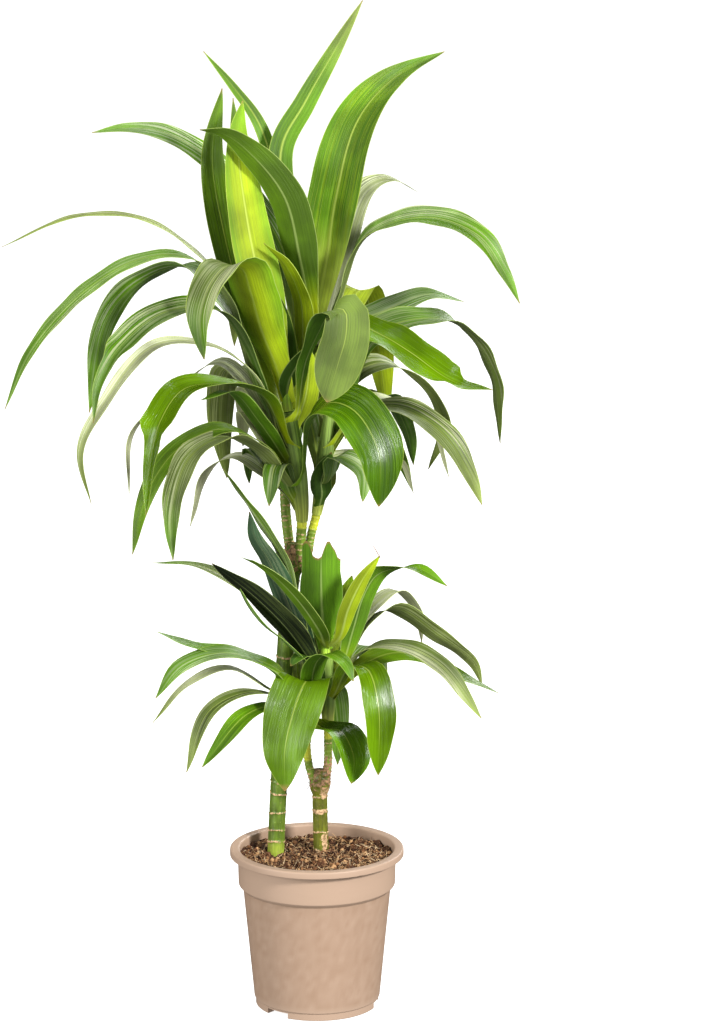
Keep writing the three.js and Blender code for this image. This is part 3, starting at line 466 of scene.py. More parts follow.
# ---- curves
class Path:
    """A smooth curve through points, in millimetres, read by share of its length or by height."""

    FINE = 400

    def __init__(self, points):
        knots = [np.array(p, float) for p in points]
        knots = [2 * knots[0] - knots[1], *knots, 2 * knots[-1] - knots[-2]]
        steps = self.FINE // (len(points) - 1)
        places, tangents = [], []
        for before, start, end, after in zip(knots, knots[1:], knots[2:], knots[3:]):
            steps_between = ((before, start), (start, end), (end, after))
            gaps = [math.sqrt(np.linalg.norm(b - a)) for a, b in steps_between]
            rise = self.slope(before, start, end, gaps[0], gaps[1]) * gaps[1]
            fall = self.slope(start, end, after, gaps[1], gaps[2]) * gaps[1]
            for i in range(steps + 1):
                t = i / steps
                cube = 2 * start - 2 * end + rise + fall
                square = -3 * start + 3 * end - 2 * rise - fall
                places.append(start + rise * t + square * t * t + cube * t ** 3)
                tangents.append(rise + 2 * square * t + 3 * cube * t * t)
        self.places = np.array(places)
        tangents = np.array(tangents)
        self.tangents = tangents / np.linalg.norm(tangents, axis=1)[:, None]
        lengths = np.linalg.norm(np.diff(self.places, axis=0), axis=1)
        self.reach = np.concatenate([[0], np.cumsum(lengths)])
        self.length = self.reach[-1]

    @staticmethod
    def slope(a, b, c, first, second):
        """Slope at b on the way from a to c, with the gaps before and after it."""
        return (b - a) / first - (c - a) / (first + second) + (c - b) / second

    def at(self, shares):
        """Points on the curve and the directions in which it runs there."""
        wanted = np.asarray(shares) * self.length
        place = np.stack([np.interp(wanted, self.reach, self.places[:, k]) for k in range(3)], axis=-1)
        along = np.stack([np.interp(wanted, self.reach, self.tangents[:, k]) for k in range(3)], axis=-1)
        return place, along / np.linalg.norm(along, axis=-1, keepdims=True)

    def share_at(self, heights):
        return np.interp(heights, self.places[:, 2], self.reach) / self.length


# ---- meshes
def grid_faces(rows, columns, closed=False, start=0):
    """Quads between neighbouring rows of points, closed round when each row is a ring."""
    last = columns if closed else columns - 1
    i, j = np.meshgrid(np.arange(rows - 1), np.arange(last), indexing="ij")
    after = (j + 1) % columns
    quads = np.stack([i * columns + j, i * columns + after, (i + 1) * columns + after,
                      (i + 1) * columns + j], axis=-1)
    return (quads.reshape(-1, 4) + start).tolist()


class Builder:
    """Gathers points, faces and per-point values of one piece, and makes its mesh object."""

    def __init__(self):
        self.points = []
        self.faces = []
        self.values = {}
        self.count = 0

    def add(self, points, faces, **values):
        points = np.asarray(points, float).reshape(-1, 3)
        self.faces += [[v + self.count for v in face] for face in faces]
        for name, value in values.items():
            value = np.asarray(value, float)
            size = (len(points), 3) if value.shape[-1:] == (3,) else (len(points),)
            self.values.setdefault(name, []).append(np.broadcast_to(value, size))
        self.points.append(points)
        self.count += len(points)

    def make(self, name, material, sharp=50):
        mesh = bpy.data.meshes.new(name)
        mesh.from_pydata((np.concatenate(self.points) * MM).tolist(), [], self.faces)
        for key, parts in self.values.items():
            data = np.concatenate(parts)
            if data.ndim == 2:
                layer = mesh.attributes.new(key, "FLOAT_COLOR", "POINT")
                layer.data.foreach_set("color", np.c_[data, np.ones(len(data))].ravel())
            else:
                mesh.attributes.new(key, "FLOAT", "POINT").data.foreach_set("value", data)
        mesh.polygons.foreach_set("use_smooth", [True] * len(mesh.polygons))
        mesh.set_sharp_from_angle(angle=math.radians(sharp))
        mesh.materials.append(material)
        piece = bpy.data.objects.new(name, mesh)
        bpy.context.scene.collection.objects.link(piece)
        return piece


ROUNDED = 180  # no edge of the piece is crisp


def settle(piece, slot, *nodes):
    """The piece rides with the plant's one body, and stands for CAD nodes where it names any."""
    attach(piece, "root")
    if nodes:
        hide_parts(*nodes)


# ---- materials
class Surface:
    """A Principled material, with short calls for the nodes of its pattern."""

    def __init__(self, name, roughness=0.5, specular=0.5):
        self.material = bpy.data.materials.new(name)
        self.material.use_nodes = True
        self.tree = self.material.node_tree
        self.shader = self.tree.nodes["Principled BSDF"]
        self.shader.inputs["Roughness"].default_value = roughness
        self.shader.inputs["Specular IOR Level"].default_value = specular

    def node(self, kind, inputs=(), **settings):
        made = self.tree.nodes.new("ShaderNode" + kind)
        for key, value in settings.items():
            setattr(made, key, value)
        for key, value in dict(inputs).items():
            self.feed(made.inputs[key], value)
        return made

    def feed(self, socket, value):
        if isinstance(value, bpy.types.NodeSocket):
            self.tree.links.new(value, socket)
        else:
            socket.default_value = value

    def value(self, name):
        return self.node("Attribute", attribute_name=name).outputs["Fac"]

    def colour(self, name):
        return self.node("Attribute", attribute_name=name).outputs["Color"]

    def place(self):
        return self.node("TexCoord").outputs["Object"]

    def math(self, operation, first, second=0.0):
        return self.node("Math", {0: first, 1: second}, operation=operation).outputs[0]

    def times(self, first, second):
        return self.math("MULTIPLY", first, second)

    def plus(self, first, second):
        return self.math("ADD", first, second)

    def vector(self, x, y, z):
        return self.node("CombineXYZ", {0: x, 1: y, 2: z}).outputs[0]

    def noise(self, vector, scale, detail=2.0, roughness=0.5):
        inputs = {"Vector": vector, "Scale": scale, "Detail": detail, "Roughness": roughness}
        return self.node("TexNoise", inputs).outputs["Fac"]

    def spread(self, value, low, high, new_low=0.0, new_high=1.0):
        """The value's stretch from low to high, spread over another stretch and eased at both ends."""
        inputs = {0: value, 1: low, 2: high, 3: new_low, 4: new_high}
        return self.node("MapRange", inputs, interpolation_type="SMOOTHSTEP").outputs[0]

    def mix(self, share, first, second, kind="MIX"):
        made = self.node("Mix", data_type="RGBA", blend_type=kind)
        for socket, value in ((made.inputs[0], share), (made.inputs[6], first), (made.inputs[7], second)):
            if isinstance(value, np.ndarray):
                value = (*value, 1)
            self.feed(socket, value)
        return made.outputs[2]

    def shade(self, colour, share, dark, light):
        """The colour made darker or lighter by a pattern that runs from 0 to 1."""
        amount = self.spread(share, 0, 1, dark, light)
        return self.mix(1.0, colour, self.vector(amount, amount, amount), "MULTIPLY")

    def paint(self, colour, roughness=None, height=None, depth=0.1, strength=1.0):
        self.feed(self.shader.inputs["Base Color"], colour)
        if roughness is not None:
            self.feed(self.shader.inputs["Roughness"], roughness)
        if height is not None:
            inputs = {"Height": height, "Distance": depth * MM, "Strength": strength}
            bump = self.node("Bump", inputs)
            self.feed(self.shader.inputs["Normal"], bump.outputs[0])
        return self.material


def leaf_material():
    """Fine veins and streaks that run with the leaf, the pale ones partly painted sheen; a pale midrib and
    margin, with painted shade in the groove beside the midrib; soft blotches of painted light and shade.
    """
    s = Surface("leaf_surface", specular=0.36)
    across, along = s.value("across_mm"), s.value("along_mm")
    seed, under = s.value("seed"), s.value("under")
    streaked = s.value("stripes")
    pale_place = s.vector(s.times(across, 0.75), s.times(along, 0.006), seed)
    dark_place = s.vector(s.times(across, 0.6), s.times(along, 0.005), s.plus(seed, 5.5))
    vein_place = s.vector(s.times(across, 1.9), s.times(along, 0.015), seed)
    pale = s.spread(s.noise(pale_place, 1.0, 3.0, 0.65), 0.48, 0.58)
    dark = s.spread(s.noise(dark_place, 1.0, 3.0, 0.6), 0.46, 0.56)
    veins = s.noise(vein_place, 1.0, 3.0, 0.6)
    colour = s.shade(s.colour("tint"), s.times(dark, streaked), 1.05, 0.35)
    # pale stripes: partly the leaf's own streaks, partly painted sheen where light glances along its ridges
    colour = s.mix(s.times(pale, streaked), colour, s.colour("stripe_tint"))
    colour = s.shade(colour, veins, 0.62, 1.38)
    # painted light and shade: soft lighter and darker patches standing for reflections and light through
    # the leaf
    painted_light_blotch = s.noise(s.place(), 24.0, 2.0)
    colour = s.shade(colour, s.spread(painted_light_blotch, 0.3, 0.7), 0.8, 1.2)
    offset = s.math("ABSOLUTE", across)
    # painted shade: the blade darkens in the groove on each side of the midrib
    groove = s.times(s.spread(offset, s.times(s.value("rib_mm"), 3.0), 0.0), s.value("rib"))
    colour = s.shade(colour, groove, 1.0, 0.72)
    rib = s.times(s.spread(offset, s.value("rib_mm"), 0.1), s.value("rib"))
    colour = s.mix(rib, colour, s.colour("rib_tint"))
    margin = s.spread(s.value("edge_mm"), 0.7, 0.2, 0.0, 0.6)
    colour = s.mix(margin, colour, s.colour("rib_tint"))
    colour = s.mix(s.value("dry"), colour, linear("8a6a3c"))
    roughness = s.plus(s.value("gloss"), s.times(under, 0.15))
    roughness = s.plus(roughness, s.spread(veins, 0.3, 0.7, -0.04, 0.08))
    ridges = s.plus(s.times(pale, 0.5), s.times(veins, 0.5))
    ridges = s.math("SUBTRACT", ridges, s.times(rib, 0.9))
    return s.paint(colour, roughness, ridges, depth=0.4, strength=0.7)


def stem_material():
    """Green skin with upright streaks, tan leaf scars and patches of dry bark."""
    s = Surface("ringed_stem", roughness=0.5)
    turn, height = s.value("turn_mm"), s.value("height_mm")
    streak_place = s.vector(s.times(turn, 0.7), s.times(height, 0.05), s.value("seed"))
    streak = s.noise(streak_place, 1.0, 3.0, 0.6)
    cloud = s.noise(s.place(), 90.0, 3.0)
    speck = s.noise(s.place(), 420.0, 2.0)
    colour = s.shade(s.colour("tint"), streak, 0.45, 1.55)
    colour = s.shade(colour, cloud, 0.5, 1.5)
    colour = s.mix(s.spread(speck, 0.66, 0.76, 0.0, 0.5), colour, linear("b4c060"))
    bark_noise = s.noise(s.place(), 300.0, 4.0, 0.7)
    bark_colour = s.mix(s.spread(bark_noise, 0.35, 0.65), linear("7a5638"), linear("dcb88c"))
    bark = s.spread(s.plus(s.value("bark"), s.spread(bark_noise, 0.3, 0.7, -0.4, 0.4)), 0.4, 0.62)
    colour = s.mix(bark, colour, bark_colour)
    rot = s.spread(s.plus(s.value("rot"), s.spread(bark_noise, 0.3, 0.7, -0.45, 0.45)), 0.35, 0.6)
    colour = s.mix(rot, colour, s.mix(s.spread(bark_noise, 0.3, 0.7), linear("3a2416"), linear("b89068")))
    rough = s.spread(s.math("MAXIMUM", bark, rot), 0.0, 1.0, 0.42, 0.85)
    bumps = s.plus(s.times(streak, 0.3), s.times(bark_noise, 0.7))
    return s.paint(colour, rough, bumps, depth=0.4, strength=0.7)


def pot_material():
    """Matte moulded plastic with a fine grain, faint flow marks, and an inner wall that darkens towards the
    soil.
    """
    s = Surface("taupe_plastic", roughness=0.5, specular=0.4)
    place = s.place()
    cloud = s.noise(place, 14.0, 3.0)
    grain = s.noise(place, 900.0, 2.0)
    split = s.node("SeparateXYZ", {0: place})
    flow_place = s.vector(split.outputs[0], split.outputs[1], s.times(split.outputs[2], 6.0))
    flow = s.noise(flow_place, 26.0, 4.0)
    colour = s.mix(cloud, linear("a78d78"), linear("aa907b"))
    colour = s.shade(colour, flow, 0.985, 1.015)
    scuff = s.spread(s.noise(place, 130.0, 5.0, 0.7), 0.68, 0.78, 0.0, 0.18)
    colour = s.mix(scuff, colour, linear("987860"))
    # the inner wall is made darker towards the soil
    colour = s.mix(s.value("inner_darkening"), colour, linear("8a6c54"))
    roughness = s.spread(cloud, 0.3, 0.7, 0.46, 0.5)
    heights = s.plus(s.times(grain, 0.25), s.times(scuff, 0.3))
    return s.paint(colour, roughness, heights, depth=0.12, strength=0.4)


def soil_material(name):
    """Peat, painted darker in its hollows as shade, flecked with tan fibre."""
    s = Surface(name, roughness=0.95, specular=0.2)
    place = s.place()
    lump = s.noise(place, 160.0, 5.0, 0.7)
    fleck = s.noise(place, 620.0, 4.0, 0.7)
    # painted shade: darker where the bump is low, lighter where it is high
    colour = s.shade(s.colour("tint"), lump, 0.4, 1.6)
    colour = s.mix(s.spread(fleck, 0.56, 0.68, 0.0, 0.65), colour, linear("b8946a"))
    heights = s.plus(lump, s.times(fleck, 0.5))
    return s.paint(colour, None, heights, depth=1.2, strength=0.9)


def fibre_material():
    """Dry, dull fibre with a fine grain."""
    s = Surface("dry_fibre", roughness=0.8, specular=0.3)
    grain = s.noise(s.place(), 700.0, 3.0)
    return s.paint(s.shade(s.colour("tint"), grain, 0.7, 1.3), None, grain, depth=0.1)


# ---- pot
def rounded(corners):
    """Profile through (radius, height, rounding) corners, each turned by a short arc."""
    profile = []
    for i, (x, z, rounding) in enumerate(corners):
        here = np.array([x, z], float)
        if i > 0:
            before = profile[-1]
            rings = int(np.linalg.norm(here - before) / RING_STEP)
            profile += [blend(before, here, k / rings) for k in range(1, rings)]
        if rounding == 0:
            profile.append(here)
            continue
        ways = [np.array(corners[k][:2], float) - here for k in (i - 1, i + 1)]
        lengths = [np.linalg.norm(way) for way in ways]
        reach = min(rounding, ARC_SHARE * min(lengths))
        first, last = (here + way * reach / length for way, length in zip(ways, lengths))
        for t in np.linspace(0, 1, ARC_POINTS):
            profile.append((1 - t) ** 2 * first + 2 * t * (1 - t) * here + t * t * last)
    return np.array(profile)


def pot_profile():
    """From the middle of the underside, out and up to the lip, and down the inside to the floor."""
    body_top = COLLAR_BOTTOM - COLLAR_STEP
    slope = (BODY_TOP_RADIUS - BODY_FOOT_RADIUS) / (body_top - BODY_FOOT)
    lip_bottom = POT_HEIGHT - LIP_DEPTH
    groove_top = POT_HEIGHT - LIP_ROOT
    return rounded([
        (0, 0, 0),
        (BOSS_RADIUS, 0, 0.8),
        (BOSS_RADIUS, RECESS, 0.8),
        (RING_INNER, RECESS, 1.2),
        (RING_INNER, 0, 0.8),
        (RING_RADIUS, 0, 1),
        (RING_RADIUS, BODY_FOOT - FOOT_BEVEL, 0.4),
        (BODY_FOOT_RADIUS, BODY_FOOT, 0.9),
        (BODY_TOP_RADIUS, body_top, 0.7),
        (COLLAR_RADIUS - COLLAR_DRAFT, COLLAR_BOTTOM, 0.9),
        (COLLAR_RADIUS, groove_top, 1),
        (RIM_RADIUS - LIP_SKIRT, groove_top, 0.6),
        (RIM_RADIUS - LIP_SKIRT, lip_bottom, 0.6),
        (RIM_RADIUS, lip_bottom, 0.7),
        (RIM_RADIUS, POT_HEIGHT, 1.8),
        (MOUTH_RADIUS, POT_HEIGHT, 2.2),
        (MOUTH_RADIUS, COLLAR_BOTTOM, 2),
        (BODY_TOP_RADIUS - WALL, body_top, 1.6),
        (BODY_FOOT_RADIUS - WALL + slope, FLOOR_TOP, 3),
        (0, FLOOR_TOP, 0),
    ])


def turned(profile, sides):
    """Points and faces of a profile turned about the axis, whose first and last points lie on it."""
    angles = np.arange(sides) * 2 * PI / sides
    inner = profile[1:-1]
    rings = np.stack([np.outer(inner[:, 0], np.cos(angles)), np.outer(inner[:, 0], np.sin(angles)),
                      np.repeat(inner[:, 1:], sides, axis=1)], axis=-1)
    points = [*rings.reshape(-1, 3), (0, 0, profile[0][1]), (0, 0, profile[-1][1])]
    faces = grid_faces(len(inner), sides, closed=True)
    bottom, top = len(points) - 2, len(points) - 1
    last = (len(inner) - 1) * sides
    for j in range(sides):
        after = (j + 1) % sides
        faces.append([bottom, after, j])
        faces.append([top, last + j, last + after])
    return np.array(points), faces


def cutter(kind, angle, radius, **size):
    """A box or a drill standing at an angle and distance round the axis, for cuts in the pot."""
    form = bmesh.new()
    if kind == "notch":
        bmesh.ops.create_cube(form, size=1)
        bmesh.ops.scale(form, vec=(size["deep"], size["wide"], 2 * size["high"]), verts=form.verts)
    else:
        bmesh.ops.create_cone(form, cap_ends=True, segments=DRAIN_SIDES, radius1=size["wide"],
                              radius2=size["wide"], depth=size["deep"])
    bmesh.ops.translate(form, vec=(radius, 0, 0), verts=form.verts)
    bmesh.ops.rotate(form, matrix=Matrix.Rotation(angle, 3, "Z"), verts=form.verts)
    bmesh.ops.scale(form, vec=(MM, MM, MM), verts=form.verts)
    mesh = bpy.data.meshes.new(kind)
    form.to_mesh(mesh)
    form.free()
    made = bpy.data.objects.new(kind, mesh)
    bpy.context.scene.collection.objects.link(made)
    return made


def pot_cutters():
    """The notches in the base ring and the drainage holes in the floor."""
    ring_middle = (RING_RADIUS + RING_INNER) / 2
    cutters = []
    for angle in NOTCH_ANGLES:
        cutters.append(cutter("notch", math.radians(angle), ring_middle,
                              deep=CUT_DEPTH, wide=NOTCH_WIDTH, high=NOTCH_HEIGHT))
    for i in range(DRAIN_COUNT):
        cutters.append(cutter("drain", 2 * PI * (i + 0.5) / DRAIN_COUNT, DRAIN_CIRCLE,
                              deep=3 * CUT_DEPTH, wide=DRAIN_RADIUS))
    return cutters


def cut_away(piece, cutters):
    """Cuts the tools out of the piece and deletes them."""
    for tool in cutters:
        cut = piece.modifiers.new("cut", "BOOLEAN")
        cut.object = tool
        cut.solver = "EXACT"
    bpy.context.view_layer.update()
    graph = bpy.context.evaluated_depsgraph_get()
    piece_mesh = bpy.data.meshes.new_from_object(piece.evaluated_get(graph))
    piece.modifiers.clear()
    piece.data = piece_mesh
    for tool in cutters:
        bpy.data.objects.remove(tool)


def inner_darkening_at(x, y, z):
    """How much darker the inner wall is, from none at the rim to most at the soil, in patches."""
    if math.hypot(x, y) >= MOUTH_RADIUS + 0.5 or z <= FLOOR_TOP:
        return 0.0
    patch = 0.5 + 0.5 * noise.noise(Vector((x / 6, y / 6, z / 4)))
    return INNER_DARKENING * patch * float(smooth(POT_HEIGHT, SOIL_TOP, z))


def make_pot():
    points, faces = turned(pot_profile(), POT_SIDES)
    for point in points:
        out = math.hypot(point[0], point[1])
        if out > COLLAR_RADIUS and point[2] < POT_HEIGHT - LIP_DEPTH + 1:
            point[2] += LIP_RAGGED * abs(noise.noise(Vector((point[0] / 5, point[1] / 5, 0))))
    builder = Builder()
    builder.add(points, faces)
    piece = builder.make("nursery_pot", pot_material())
    cut_away(piece, pot_cutters())
    piece.data.set_sharp_from_angle(angle=math.radians(POT_SHARP))
    inner_darkening = [inner_darkening_at(*(vertex.co / MM)) for vertex in piece.data.vertices]
    piece.data.attributes.new("inner_darkening", "FLOAT", "POINT").data.foreach_set("value", inner_darkening)
    settle(piece, "pot", "pot")


# ---- soil
def soil_height(x, y):
    """The solid's top: a shallow bowl with broad and small lumps."""
    wide = np.sin(x / WIDE_WAVE["x"] + WIDE_WAVE["start_x"])
    wide = wide * np.cos(y / WIDE_WAVE["y"] + WIDE_WAVE["start_y"])
    fine = np.sin(x / FINE_WAVE["x"] + y / FINE_WAVE["y"])
    fine = fine * np.cos(y / FINE_WAVE["cross_y"] - x / FINE_WAVE["cross_x"])
    rise = SOIL_RISE * (x * x + y * y) / MOUTH_RADIUS ** 2
    level = SOIL_TOP + rise * (1 - BACK_DIP * np.maximum(0, y / MOUTH_RADIUS))
    return level + SOIL_LUMP * (WIDE_LUMP * wide + FINE_LUMP * fine)


def soil_surface(x, y):
    """Height of the loose top: the solid's broad heaps with clods and hollows on them."""
    clods = noise.turbulence(Vector((x / CLOD, y / CLOD, 3)), 4, False, noise_basis="PERLIN_ORIGINAL")
    grains = noise.noise(Vector((x / GRAIN, y / GRAIN, 9)))
    return float(soil_height(x, y)) + CLOD_RISE * (clods - CLOD_LEVEL) + GRAIN_RISE * grains


def make_soil_bed():
    """The loose top as rings of points, closed by a plain side and floor inside the pot."""
    reach = MOUTH_RADIUS - SOIL_CLEAR
    foot = BODY_FOOT_RADIUS - WALL - 4
    floor = FLOOR_TOP + 0.3
    sides = [(reach, COLLAR_BOTTOM + 2), (BODY_TOP_RADIUS - WALL - 0.6, COLLAR_BOTTOM - 5),
             (foot + 2, FLOOR_TOP + 5), (foot, floor)]
    angles = np.arange(SOIL_SPOKES) * 2 * PI / SOIL_SPOKES
    points = []
    for i in range(1, SOIL_RINGS + 1):
        radius = reach * i / SOIL_RINGS
        for angle in angles:
            x, y = radius * math.cos(angle), radius * math.sin(angle)
            points.append((x, y, soil_surface(x, y)))
    for radius, height in sides:
        points += [(radius * math.cos(angle), radius * math.sin(angle), height) for angle in angles]
    rows = SOIL_RINGS + len(sides)
    faces = [face[::-1] for face in grid_faces(rows, SOIL_SPOKES, closed=True)]
    top = len(points)
    points += [(0, 0, soil_surface(0, 0)), (0, 0, floor)]
    last = (rows - 1) * SOIL_SPOKES
    for j in range(SOIL_SPOKES):
        after = (j + 1) % SOIL_SPOKES
        faces.append([top, j, after])
        faces.append([top + 1, last + after, last + j])
    points = np.array(points)
    # painted shade: the loose top is darker in its hollows, below the solid's top
    low = smooth(-3.0, 3.0, points[:, 2] - soil_height(points[:, 0], points[:, 1]))[:, None]
    builder = Builder()
    builder.add(points, faces, tint=blend(linear("26130a"), linear("7c543a"), low))
    settle(builder.make("soil_bed", soil_material("peat"), sharp=ROUNDED), "soil", "soil")


def scatter():
    """A random place on the soil, clear of the canes."""
    while True:
        radius = (MOUTH_RADIUS - 3) * math.sqrt(rng.random())
        angle = rng.uniform(0, 2 * PI)
        x, y = radius * math.cos(angle), radius * math.sin(angle)
        feet = [cane["path"][1] for cane in CANES.values()]
        if all(math.hypot(x - foot[0], y - foot[1]) > CANE_CLEAR for foot in feet):
            return x, y


def make_crumbs():
    """Small uneven lumps of peat, a few of them large."""
    ball = bmesh.new()
    bmesh.ops.create_icosphere(ball, subdivisions=1, radius=1)
    ball.verts.ensure_lookup_table()
    base = [vertex.co.copy() for vertex in ball.verts]
    faces = [[vertex.index for vertex in face.verts] for face in ball.faces]
    ball.free()
    shades = [linear(code) for code in CRUMB_SHADES]
    builder = Builder()
    for i in range(CRUMB_COUNT):
        x, y = scatter()
        size = 0.5 + 2.0 * rng.random() ** 2.5
        stretch = [size * rng.uniform(0.6, 1.3) for _ in range(3)]
        turn = Matrix.Rotation(rng.uniform(0, 2 * PI), 3, "Z")
        turn = turn @ Matrix.Rotation(rng.uniform(0, PI), 3, "X")
        middle = Vector((x, y, soil_surface(x, y) + 0.25 * size))
        points = []
        for co in base:
            rough = 1 + 0.45 * noise.noise(co * 1.8 + Vector((i, 0, 0)))
            points.append(middle + turn @ Vector(c * s * rough for c, s in zip(co, stretch)))
        builder.add(points, faces, tint=rng.choice(shades))
    settle(builder.make("soil_crumbs", soil_material("peat_crumb"), sharp=ROUNDED), "soil")


def strand(builder, start, heading, length, radius, bend, floor=None, **values):
    """A thin curved fibre: four sides, tapered at both ends, and kept above a floor where it has one."""
    here = Vector(start)
    way = Vector(heading).normalized()
    turn = Vector((rng.uniform(-1, 1), rng.uniform(-1, 1), rng.uniform(-1, 1))) * bend
    rows = []
    steps = 6
    for i in range(steps + 1):
        side = way.orthogonal().normalized()
        other = way.cross(side)
        girth = radius * (0.35 + 0.65 * math.sin(PI * (i + 0.6) / (steps + 1.2)))
        for corner in range(4):
            angle = corner * PI / 2
            rows.append(here + girth * (side * math.cos(angle) + other * math.sin(angle)))
        way = (way + turn / steps).normalized()
        here = here + way * (length / steps)
        if floor is not None:
            here.z = max(here.z, floor(here.x, here.y) + 0.2)
    faces = grid_faces(steps + 1, 4, closed=True)
    faces += [[3, 2, 1, 0], [4 * steps + k for k in range(4)]]
    builder.add(rows, faces, **values)


def make_soil_fibres():
    shades = [linear(code) for code in FIBRE_SHADES]
    builder = Builder()
    for _ in range(FIBRE_COUNT):
        x, y = scatter()
        angle = rng.uniform(0, 2 * PI)
        length = rng.uniform(2.5, 9)
        start = (x, y, soil_surface(x, y) + rng.uniform(-0.1, 0.5))
        heading = (math.cos(angle), math.sin(angle), rng.uniform(-0.3, 0.5))
        strand(builder, start, heading, length, rng.uniform(0.12, 0.36), 1.1, soil_surface,
               tint=rng.choice(shades))
    settle(builder.make("soil_fibres", fibre_material(), sharp=ROUNDED), "soil")


# ---- canes and stems
def tube_points(path, heights, radii):
    """Rings of points round a path, with a radius for each height and side."""
    centre, along = path.at(path.share_at(heights))
    across = np.array([1.0, 0, 0]) - along * along[:, :1]
    across /= np.linalg.norm(across, axis=1, keepdims=True)
    other = np.cross(along, across)
    ring = across[:, None] * np.cos(TURNS)[None, :, None] + other[:, None] * np.sin(TURNS)[None, :, None]
    return centre[:, None] + ring * radii[..., None]


def tube_faces(rows):
    faces = grid_faces(rows, TUBE_SIDES, closed=True)
    first, last = list(range(TUBE_SIDES)), list(range((rows - 1) * TUBE_SIDES, rows * TUBE_SIDES))
    return [*faces, first[::-1], last]


def rough_field(heights, radius, scale, seed):
    """Smooth noise over a tube's skin, one value for each height and side."""
    spots = [(radius * math.cos(turn) / scale, radius * math.sin(turn) / scale) for turn in TURNS]
    return np.array([[noise.noise(Vector((x, y, h / scale + seed))) for x, y in spots] for h in heights])


def ring_scars(scars, heights, tilt, rise):
    """Relief and dryness of the leaf scars that ring a cane, each a little aslant."""
    relief = np.zeros((len(heights), TUBE_SIDES))
    dry = np.zeros_like(relief)
    for scar in scars:
        lean = rng.uniform(0.4, 1) * tilt
        phase = rng.uniform(0, 2 * PI)
        middle = scar + lean * np.cos(TURNS - phase) + 0.35 * lean * np.cos(3 * TURNS + phase)
        away = heights[:, None] - middle[None]
        lip = np.exp(-(away / np.where(away > 0, 0.42, 1.0)) ** 2)
        groove = np.exp(-((away - 1.3) / 0.7) ** 2)
        relief += rise * (lip - 0.3 * groove)
        broken = 0.85 + 0.2 * np.cos(2 * TURNS + phase)[None]
        dry = np.maximum(dry, broken * np.exp(-(away / np.where(away > 0, 0.7, 1.1)) ** 2))
    return relief, dry


def patch_of_bark(patch, heights):
    """Dryness of a patch between two heights that faces one way and covers an angle to each side."""
    bottom, top, towards, half = patch
    turned_away = np.abs((TURNS - math.radians(towards) + PI) % (2 * PI) - PI)
    band = smooth(bottom - 1, bottom + 1, heights) * smooth(top + 1, top - 1, heights)
    sector = smooth(math.radians(half) * 1.5, math.radians(half) * 0.5, turned_away)
    return 0.75 * np.outer(band, sector)


def make_tube(name, slot, node, path, heights, radii, radius, **values):
    builder = Builder()
    builder.add(tube_points(path, heights, radii), tube_faces(len(heights)),
                turn_mm=np.tile(TURNS * radius, len(heights)),
                height_mm=np.repeat(heights, TUBE_SIDES), **values)
    settle(builder.make(name, stem_material(), sharp=ROUNDED), slot, node)


def make_cane(name, cane):
    """A ringed cane that swells to a knob of torn bark at its fork."""
    low, high = cane["path"][0][2], cane["path"][-1][2] - 1
    heights = np.arange(low, high, ROW_STEP)
    knob, knob_radius, knob_reach = cane["knob"]
    far = np.minimum(1, np.abs(heights - knob) / knob_reach)
    girth = cane["radius"] + (knob_radius - cane["radius"]) * (1 - far * far)
    relief, dry = ring_scars(cane["scars"], heights, tilt=1.5, rise=0.75)
    for patch in cane["patches"]:
        dry = np.maximum(dry, patch_of_bark(patch, heights))
    bumps = rough_field(heights, cane["radius"], 3.2, 0)
    torn = smooth(cane["bark_above"] - 5, cane["bark_above"] + 9, heights)[:, None]
    rot = np.clip(torn * (0.62 + 1.1 * bumps), 0, 1)
    relief += 0.15 * bumps * (1 - torn) + 1.1 * bumps * torn
    lime = smooth(cane["lime_below"] + 4, cane["lime_below"] - 4, heights)[:, None]
    tint = blend(linear(cane["skin"]), linear("8a9c34"), lime).repeat(TUBE_SIDES, axis=0)
    make_tube(f"{name}_bark", "cane", name, Path(cane["path"]), heights, girth[:, None] + relief,
              cane["radius"], tint=tint, bark=dry.ravel(), rot=rot.ravel(), seed=knob)


def make_stem(name, shoot):
    """The bare stem below a shoot's leaves, closely ringed, with a lime collar on some."""
    low, high = shoot["path"][0][2], shoot["sheath"][0] + 3
    heights = np.arange(low, high, STEM_ROW_STEP)
    scars = []
    height = low + 2
    while height < high - 2:
        scars.append(height)
        height += rng.uniform(3.6, 6.4)
    relief, dry = ring_scars(scars, heights, tilt=0.5, rise=0.4)
    bumps = rough_field(heights, shoot["stem"], 2.6, low)
    rot = smooth(low + shoot["bark"], low + 0.4 * shoot["bark"], heights)[:, None] * (0.8 + 0.9 * bumps)
    radii = shoot["stem"] + relief + 0.12 * bumps + 0.7 * np.clip(rot, 0, 1) * np.abs(bumps)
    collar = smooth(high - shoot["collar"] - 3, high - shoot["collar"], heights) * (shoot["collar"] > 0)
    tint = blend(linear("7a9430"), linear("d8dc3c"), 0.9 * collar[:, None]).repeat(TUBE_SIDES, axis=0)
    fresh = 1 - 0.8 * collar[:, None]
    make_tube(f"{name}_stem", "shoot", f"{name}_shoot", Path(shoot["path"]), heights, radii,
              shoot["stem"], tint=tint, bark=(0.62 * dry * fresh).ravel(),
              rot=np.clip(rot, 0, 1).ravel(), seed=low)


